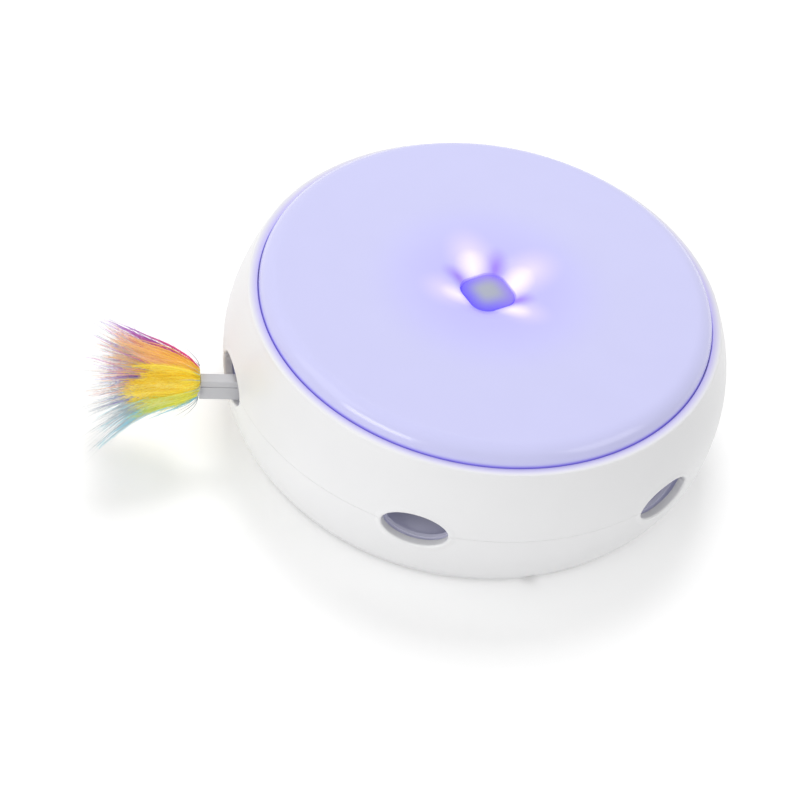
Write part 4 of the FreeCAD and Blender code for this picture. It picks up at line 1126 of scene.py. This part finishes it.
    def barbule(self, draw: random.Random, points: list[Vector], start: int) -> list[Vector]:
        """Draws a short side hair that leaves a barb at one of its points."""
        along = (points[start + 1] - points[start]).normalized()
        side = Vector((draw.gauss(0, 1), draw.gauss(0, 1), draw.gauss(0, 1)))
        side = (side - along * side.dot(along)).normalized()
        size = draw.uniform(*self.barbule_size)
        return [points[start] + along * size * t + side * size * 0.42 * t ** 1.3
                for t in (0.0, 0.35, 0.7, 1.0)]

    def add_line(self, section: dict, points: list[Vector], dyes: tuple, shade: float, thick: float) -> None:
        """Adds one line to a section, tapered to its tip, with painted shade near its root.

        Args:
            section: The section's lists.
            points: The line's points.
            dyes: Its linear colours at the root and at the tip.
            shade: Darkens or lightens both.
            thick: The radius at the root.
        """
        first, last = len(section["points"]), len(points) - 1
        root, tip = dyes
        for i, point in enumerate(points):
            share = i / last
            section["points"].append(point * MM)
            section["widths"].append(thick * MM * (1 - 0.82 * share ** 1.5))
            mix = min(1.0, share * share * 1.3)
            # Painted shade: the colour is darker near the root, where the barbs crowd.
            dark = shade * (0.86 + 0.14 * min(1.0, share * 6))
            section["dyes"].extend([(root[k] + (tip[k] - root[k]) * mix) * dark for k in range(3)] + [1.0])
        section["edges"].extend((first + i, first + i + 1) for i in range(last))

    def tree(self, material: Material) -> tuple[Tree, str, str]:
        """Makes the node tree that gives each line its tapered body.

        Args:
            material: The feather's material.

        Returns:
            The tree, and the identifiers of its sides and scale inputs.
        """
        tree = bpy.data.node_groups.new("barbs_from_lines", "GeometryNodeTree")
        tree.interface.new_socket("Lines", in_out="INPUT", socket_type="NodeSocketGeometry")
        sides = tree.interface.new_socket("Sides", in_out="INPUT", socket_type="NodeSocketInt")
        scale = tree.interface.new_socket("Width scale", in_out="INPUT", socket_type="NodeSocketFloat")
        tree.interface.new_socket("Barbs", in_out="OUTPUT", socket_type="NodeSocketGeometry")
        given = add_node(tree, "NodeGroupInput").outputs
        curves = add_node(tree, "GeometryNodeMeshToCurve", None, {"Mesh": given["Lines"]})
        width = add_node(tree, "GeometryNodeInputNamedAttribute", {"data_type": "FLOAT"}, {"Name": "width"})
        sized = add_node(tree, "GeometryNodeSetCurveRadius", None, {
            "Curve": curves.outputs["Curve"],
            "Radius": maths(tree, "MULTIPLY", width.outputs["Attribute"], given["Width scale"])})
        circle = add_node(tree, "GeometryNodeCurvePrimitiveCircle", None, {
            "Resolution": given["Sides"], "Radius": 1.0})
        body = add_node(tree, "GeometryNodeCurveToMesh", None, {
            "Curve": sized.outputs["Curve"], "Profile Curve": circle.outputs["Curve"], "Fill Caps": True})
        if "Scale" in body.inputs:
            feed(tree, body, {"Scale": add_node(tree, "GeometryNodeInputRadius").outputs["Radius"]})
        real = add_node(tree, "GeometryNodeRealizeInstances", None, {"Geometry": body.outputs["Mesh"]})
        dressed = add_node(tree, "GeometryNodeSetMaterial", None, {
            "Geometry": real.outputs["Geometry"], "Material": material})
        add_node(tree, "NodeGroupOutput", None, {"Barbs": dressed.outputs["Geometry"]})
        return tree, sides.identifier, scale.identifier

    def build(self, finish: "FeatherFinish") -> list[Object]:
        """Makes the barbs, section by section, each joined to the feather's slider.

        Args:
            finish: The feather's finish.

        Returns:
            The sections.
        """
        material = finish.make()
        tree, sides, scale = self.tree(material)
        pieces = []
        for number, section in enumerate(self.lines()):
            name = f"feather_section_{number + 1:02d}"
            mesh = bpy.data.meshes.new(name)
            mesh.from_pydata(section["points"], section["edges"], [])
            mesh.attributes.new("width", "FLOAT", "POINT").data.foreach_set("value", section["widths"])
            # The dye attribute carries each barb's dye with its painted root shade.
            mesh.attributes.new("dye", "FLOAT_COLOR", "POINT").data.foreach_set("color", section["dyes"])
            piece = bpy.data.objects.new(name, mesh)
            bpy.context.scene.collection.objects.link(piece)
            modifier = piece.modifiers.new("barbs", "NODES")
            modifier.node_group = tree
            modifier[sides] = self.sides
            modifier[scale] = 1.0
            settle(piece)
            dress(piece, material)
            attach(piece, "feather_slider")
            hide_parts("feather_tuft")
            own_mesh(piece)
            pieces.append(piece)
        return pieces


@dataclass(frozen=True)
class FeatherFinish(Finish):
    """Dyed marabou: soft barbs coloured by their own dye with a painted shade at the root, a little sheen, and a
    painted glow of the dye for the light through them.
    """

    through: float = 0.2
    sheen: float = 0.15
    sheen_roughness: float = 0.4

    def paint(self, tree: Tree, surface: Node, place: Socket) -> tuple | Socket:
        """Paints each barb with its dye and painted root shade, and adds a painted glow of the dye for the light
        through it.
        """
        dye = add_node(tree, "ShaderNodeAttribute", {"attribute_name": "dye"}).outputs["Color"]
        feed(tree, surface, {"Emission Color": dye, "Emission Strength": self.through,
                             "Sheen Weight": self.sheen, "Sheen Roughness": self.sheen_roughness})
        return dye


@dataclass(frozen=True)
class LitFinish(Finish):
    """A moulded piece that the lamps and the daylight inside light a little, more towards the windows."""

    glow_colour: str = "A4A4C4"
    glow: Pair = (0.05, 0.22)
    radii: Pair = (70.0, 81.5)

    def paint(self, tree: Tree, surface: Node, place: Socket) -> tuple | Socket:
        """Sets the faint glow by distance from the axis."""
        inside, outside = self.radii
        glow = remap(tree, from_axis(tree, place)[0], (inside * MM, outside * MM), self.glow)
        feed(tree, surface, {"Emission Color": linear(self.glow_colour), "Emission Strength": glow})
        return linear(self.colour)


@dataclass
class Insides:
    """Finishes of the pieces that the frame already has in their right shape, by the nodes' names."""

    finishes: dict[str, Finish] = field(default_factory=lambda: {
        # Moulded plastic in half shade: the violet grey wall and floor that show in the windows.
        "window_liner": LitFinish("liner_abs_violet_grey", "D0D0DC", 0.45, mottle=0.02),
        # Light grey satin plastic: a soft, even sheen along the flat bar.
        "feather_arm feather_ferrule": Finish("arm_abs_light_grey", "CBCBCF", 0.36, relief_mm=0.006),
        # Soft rubber: dull grey, with no clear reflection.
        "rubber_feet": Finish("foot_rubber_moulded", "8C8C90", 0.75, ground=Ground.MATT, grain_mm=0.4,
                              relief_mm=0.02),
        # The casing's white plastic, so that the door looks of one piece with the floor.
        "battery_door": Finish("door_abs_white", "F0F0F1", 0.36),
        # Matt white that spreads the lamps' light without a hot spot.
        "light_reflector": Finish("tray_styrene_white", "E8E8F2", 0.55, ground=Ground.MATT),
        # Solder mask: dark green under a thin gloss.
        "led_board main_board": Finish("board_solder_mask_green", "1E5A34", 0.42, coat=0.2, grain_mm=1.2),
        # Clear epoxy: a bright, glassy bead.
        "led_lamps": Finish("lamp_epoxy_clear", "EFE6FF", 0.12, ior=1.53, mottle=0.01),
        # Glass filled nylon: near black and half dull.
        "tact_switch switch_plunger home_switch": Finish("switch_nylon_black", "17171A", 0.45),
        # Moulding epoxy: black and duller still.
        "board_parts": Finish("chip_epoxy_black", "121214", 0.5),
        # Zinc plated steel: cool grey with fine turned streaks.
        "casing_screws door_screw board_screws deck_screws turret_motor_screws idler_pin pivot_washer "
        "pivot_screw cap_screws motor_bracket bracket_screw drive_gear_pin gear_clip": Finish(
            "screw_steel_zinc", "B9BBC0", 0.28, 1.0, ground=Ground.DRAWN, grain_mm=0.2, relief_mm=0.004),
        # Nickel plate: warmer and brighter than the zinc.
        "contact_plates contact_springs": Finish(
            "contact_steel_nickel", "C9C5BC", 0.24, 1.0, ground=Ground.DRAWN, grain_mm=0.2),
        # Printed film on a cell: plain dark blue under a gloss.
        "battery_cells": Finish("cell_wrap_blue", "2B3F66", 0.25, coat=0.4, mottle=0.02),
        # Dark grey plastic that hides inside the toy.
        "chassis_deck": Finish("deck_abs_grey", "5C5C63", 0.5),
        # Violet grey plastic, seen as a shadow through the windows.
        "turret_plate arm_guide guide_cap": Finish("turret_abs_violet_grey", "77759A", 0.48),
        # Natural acetal: creamy white and slippery.
        "idler_gear turret_gear arm_drive_gear": Finish("gear_acetal_natural", "ECE9DD", 0.34, ior=1.48),
        # Turned brass: yellow, with rings from the lathe.
        "turret_motor_pinion turret_bush arm_motor_pinion": Finish(
            "pinion_brass_turned", "C9A24E", 0.26, 1.0, ground=Ground.DRAWN, grain_mm=0.25),
        # Drawn steel can: grey, with streaks along its pull.
        "turret_motor arm_motor": Finish("motor_steel_drawn", "A9ABB0", 0.32, 1.0, ground=Ground.DRAWN,
                                         grain_mm=0.3),
    })

    def build(self) -> list[Object]:
        """Gives each remaining node its finish."""
        pieces = []
        for nodes, finish in self.finishes.items():
            material = finish.make()
            for node in nodes.split():
                dress(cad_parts[node], material)
                pieces.append(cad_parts[node])
        return pieces


@dataclass
class Studio:
    """Camera, lights, floor and background of the product photograph. Millimetres and degrees."""

    distance: float = 918.354626
    elevation: float = 45.219928
    turn: float = -14.9
    yaw: float = 1.416163
    pitch: float = -0.087422
    roll: float = -11.90626
    lens: float = 116.2966
    sensor: float = 36.0
    clip_end: float = 20000.0
    lift: float = 1.0
    floor_size: float = 6000.0
    floor_white: float = 0.9
    floor_glow: float = 0.21
    sky: float = 0.50

    def camera(self) -> Object:
        """Makes the camera at the photograph's viewing angle.

        Returns:
            The camera.
        """
        elevation = math.radians(self.elevation)
        place = Vector((0.0, -self.distance * math.cos(elevation), self.distance * math.sin(elevation)))
        look = -place.normalized()
        right = Vector((1.0, 0.0, 0.0))
        axes = Matrix((right, right.cross(look), -look)).transposed()
        for angle, axis in ((self.yaw, "Y"), (self.pitch, "X"), (-self.roll, "Z")):
            axes = axes @ Matrix.Rotation(math.radians(angle), 3, axis)
        world = Matrix.Rotation(math.radians(self.turn), 4, "Z") @ (Matrix.Translation(place) @ axes.to_4x4())
        world = Matrix.Translation((0, 0, self.lift)) @ world
        world.translation = world.translation * MM
        data = bpy.data.cameras.new("photo_view")
        data.lens, data.sensor_width, data.clip_end = self.lens, self.sensor, self.clip_end * MM
        camera = bpy.data.objects.new("photo_view", data)
        camera.matrix_world = world
        bpy.context.scene.collection.objects.link(camera)
        bpy.context.scene.camera = camera
        return camera

    def background(self, tree: Tree) -> Socket:
        """Gives a socket that is 1 for the rays that see the background: camera, gloss and glass."""
        rays = add_node(tree, "ShaderNodeLightPath").outputs
        seen = maths(tree, "MAXIMUM", rays["Is Camera Ray"], rays["Is Glossy Ray"])
        return maths(tree, "MAXIMUM", seen, rays["Is Transmission Ray"])

    def sky_light(self) -> None:
        """Makes the world: white to look at, softer as a light."""
        world = bpy.data.worlds.new("studio")
        world.use_nodes = True
        bpy.context.scene.world = world
        tree = world.node_tree
        tree.nodes.clear()
        strength = add_node(tree, "ShaderNodeMix", None, {
            "Factor": self.background(tree), 2: self.sky, 3: 1.0})
        sky = add_node(tree, "ShaderNodeBackground", None, {
            "Color": (1.0, 1.0, 1.0, 1.0), "Strength": strength.outputs[0]})
        add_node(tree, "ShaderNodeOutputWorld", None, {"Surface": sky.outputs["Background"]})

    def floor(self) -> Object:
        """Makes the pale floor, which the camera sees as white but for the shadow.

        Returns:
            The floor.
        """
        half = self.floor_size / 2 * MM
        mesh = bpy.data.meshes.new("floor")
        corners = [(-half, -half, 0), (half, -half, 0), (half, half, 0), (-half, half, 0)]
        mesh.from_pydata(corners, [], [(0, 1, 2, 3)])
        floor = bpy.data.objects.new("floor", mesh)
        bpy.context.scene.collection.objects.link(floor)
        material = bpy.data.materials.new("floor_paper_white")
        material.use_nodes = True
        tree = material.node_tree
        tree.nodes.clear()
        matt = add_node(tree, "ShaderNodeBsdfDiffuse", None, {
            "Color": (self.floor_white, self.floor_white, self.floor_white, 1.0)})
        glow = add_node(tree, "ShaderNodeEmission", None, {"Strength": self.floor_glow})
        both = add_node(tree, "ShaderNodeAddShader", None, {
            0: matt.outputs["BSDF"], 1: glow.outputs["Emission"]})
        chosen = add_node(tree, "ShaderNodeMixShader", None, {
            0: self.background(tree), 1: matt.outputs["BSDF"], 2: both.outputs["Shader"]})
        add_node(tree, "ShaderNodeOutputMaterial", None, {"Surface": chosen.outputs["Shader"]})
        mesh.materials.append(material)
        return floor

    def panel(self, name: str, turns: Pair, reach: float, size: Pair, watts: float,
              glossy: bool = True) -> None:
        """Adds a softbox that looks at the object.

        Args:
            name: Its name.
            turns: Its direction in degrees from +X, and its degrees above the floor.
            reach: Distance in millimetres.
            size: Width and height in millimetres.
            watts: Its power.
            glossy: False keeps its image off glossy surfaces, as a polarising filter does.
        """
        data = bpy.data.lights.new(name, "AREA")
        data.shape = "RECTANGLE"
        data.size, data.size_y = size[0] * MM, size[1] * MM
        data.energy = watts
        light = bpy.data.objects.new(name, data)
        a, e = math.radians(turns[0]), math.radians(turns[1])
        place = Vector((math.cos(a) * math.cos(e), math.sin(a) * math.cos(e), math.sin(e))) * reach * MM
        light.location = place
        light.rotation_euler = (-place).to_track_quat("-Z", "Y").to_euler()
        light.visible_glossy = glossy
        bpy.context.scene.collection.objects.link(light)

    def build(self) -> None:
        """Makes the whole studio."""
        self.sky_light()
        self.floor()
        self.panel("key_softbox", (86.0, 61.0), 1500.0, (560.0, 560.0), 8.2, False)
        self.panel("left_softbox", (184.0, 40.0), 1500.0, (800.0, 900.0), 1.8)
        self.panel("front_softbox", (220.0, 20.0), 1600.0, (900.0, 500.0), 6.6)
        self.panel("right_softbox", (325.0, 30.0), 1600.0, (900.0, 700.0), 3.1)
        self.camera()
        bpy.context.scene.view_settings.view_transform = "Standard"


def main() -> None:
    """Builds the sub-assemblies in order."""
    logging.basicConfig(level=logging.INFO, format="%(name)s: %(message)s")
    # Satin white ABS: even and soft, with a faint sheen at the shoulders.
    pieces = Casing().build(CasingFinish("casing_abs_white", "F1F1F2", 0.34, coat=0.12, relief_mm=0.006,
                                         mottle=0.01))
    # Milky acrylic: smooth lilac that seems to glow from within.
    pieces += Cover().build(CoverFinish("cover_acrylic_milky", "CFCFF8", 0.2, ior=1.49, coat=0.2,
                                        relief_mm=0.001, mottle=0.01))
    # Translucent ABS: grey green, with the lamps' violet light painted round its edge.
    pieces += Button().build(ButtonFinish("button_abs_translucent", "ADB2C2", 0.3, mottle=0.01))
    # Dyed marabou: soft barbs, bright at the root and pale at the tips.
    pieces += Tuft().build(FeatherFinish("feather_marabou_dyed", "EFC11C", 0.6, relief_mm=0.0, grain_mm=0.5,
                                         mottle=0.04))
    pieces += Insides().build()
    Studio().build()


if __name__ == "__main__":
    main()
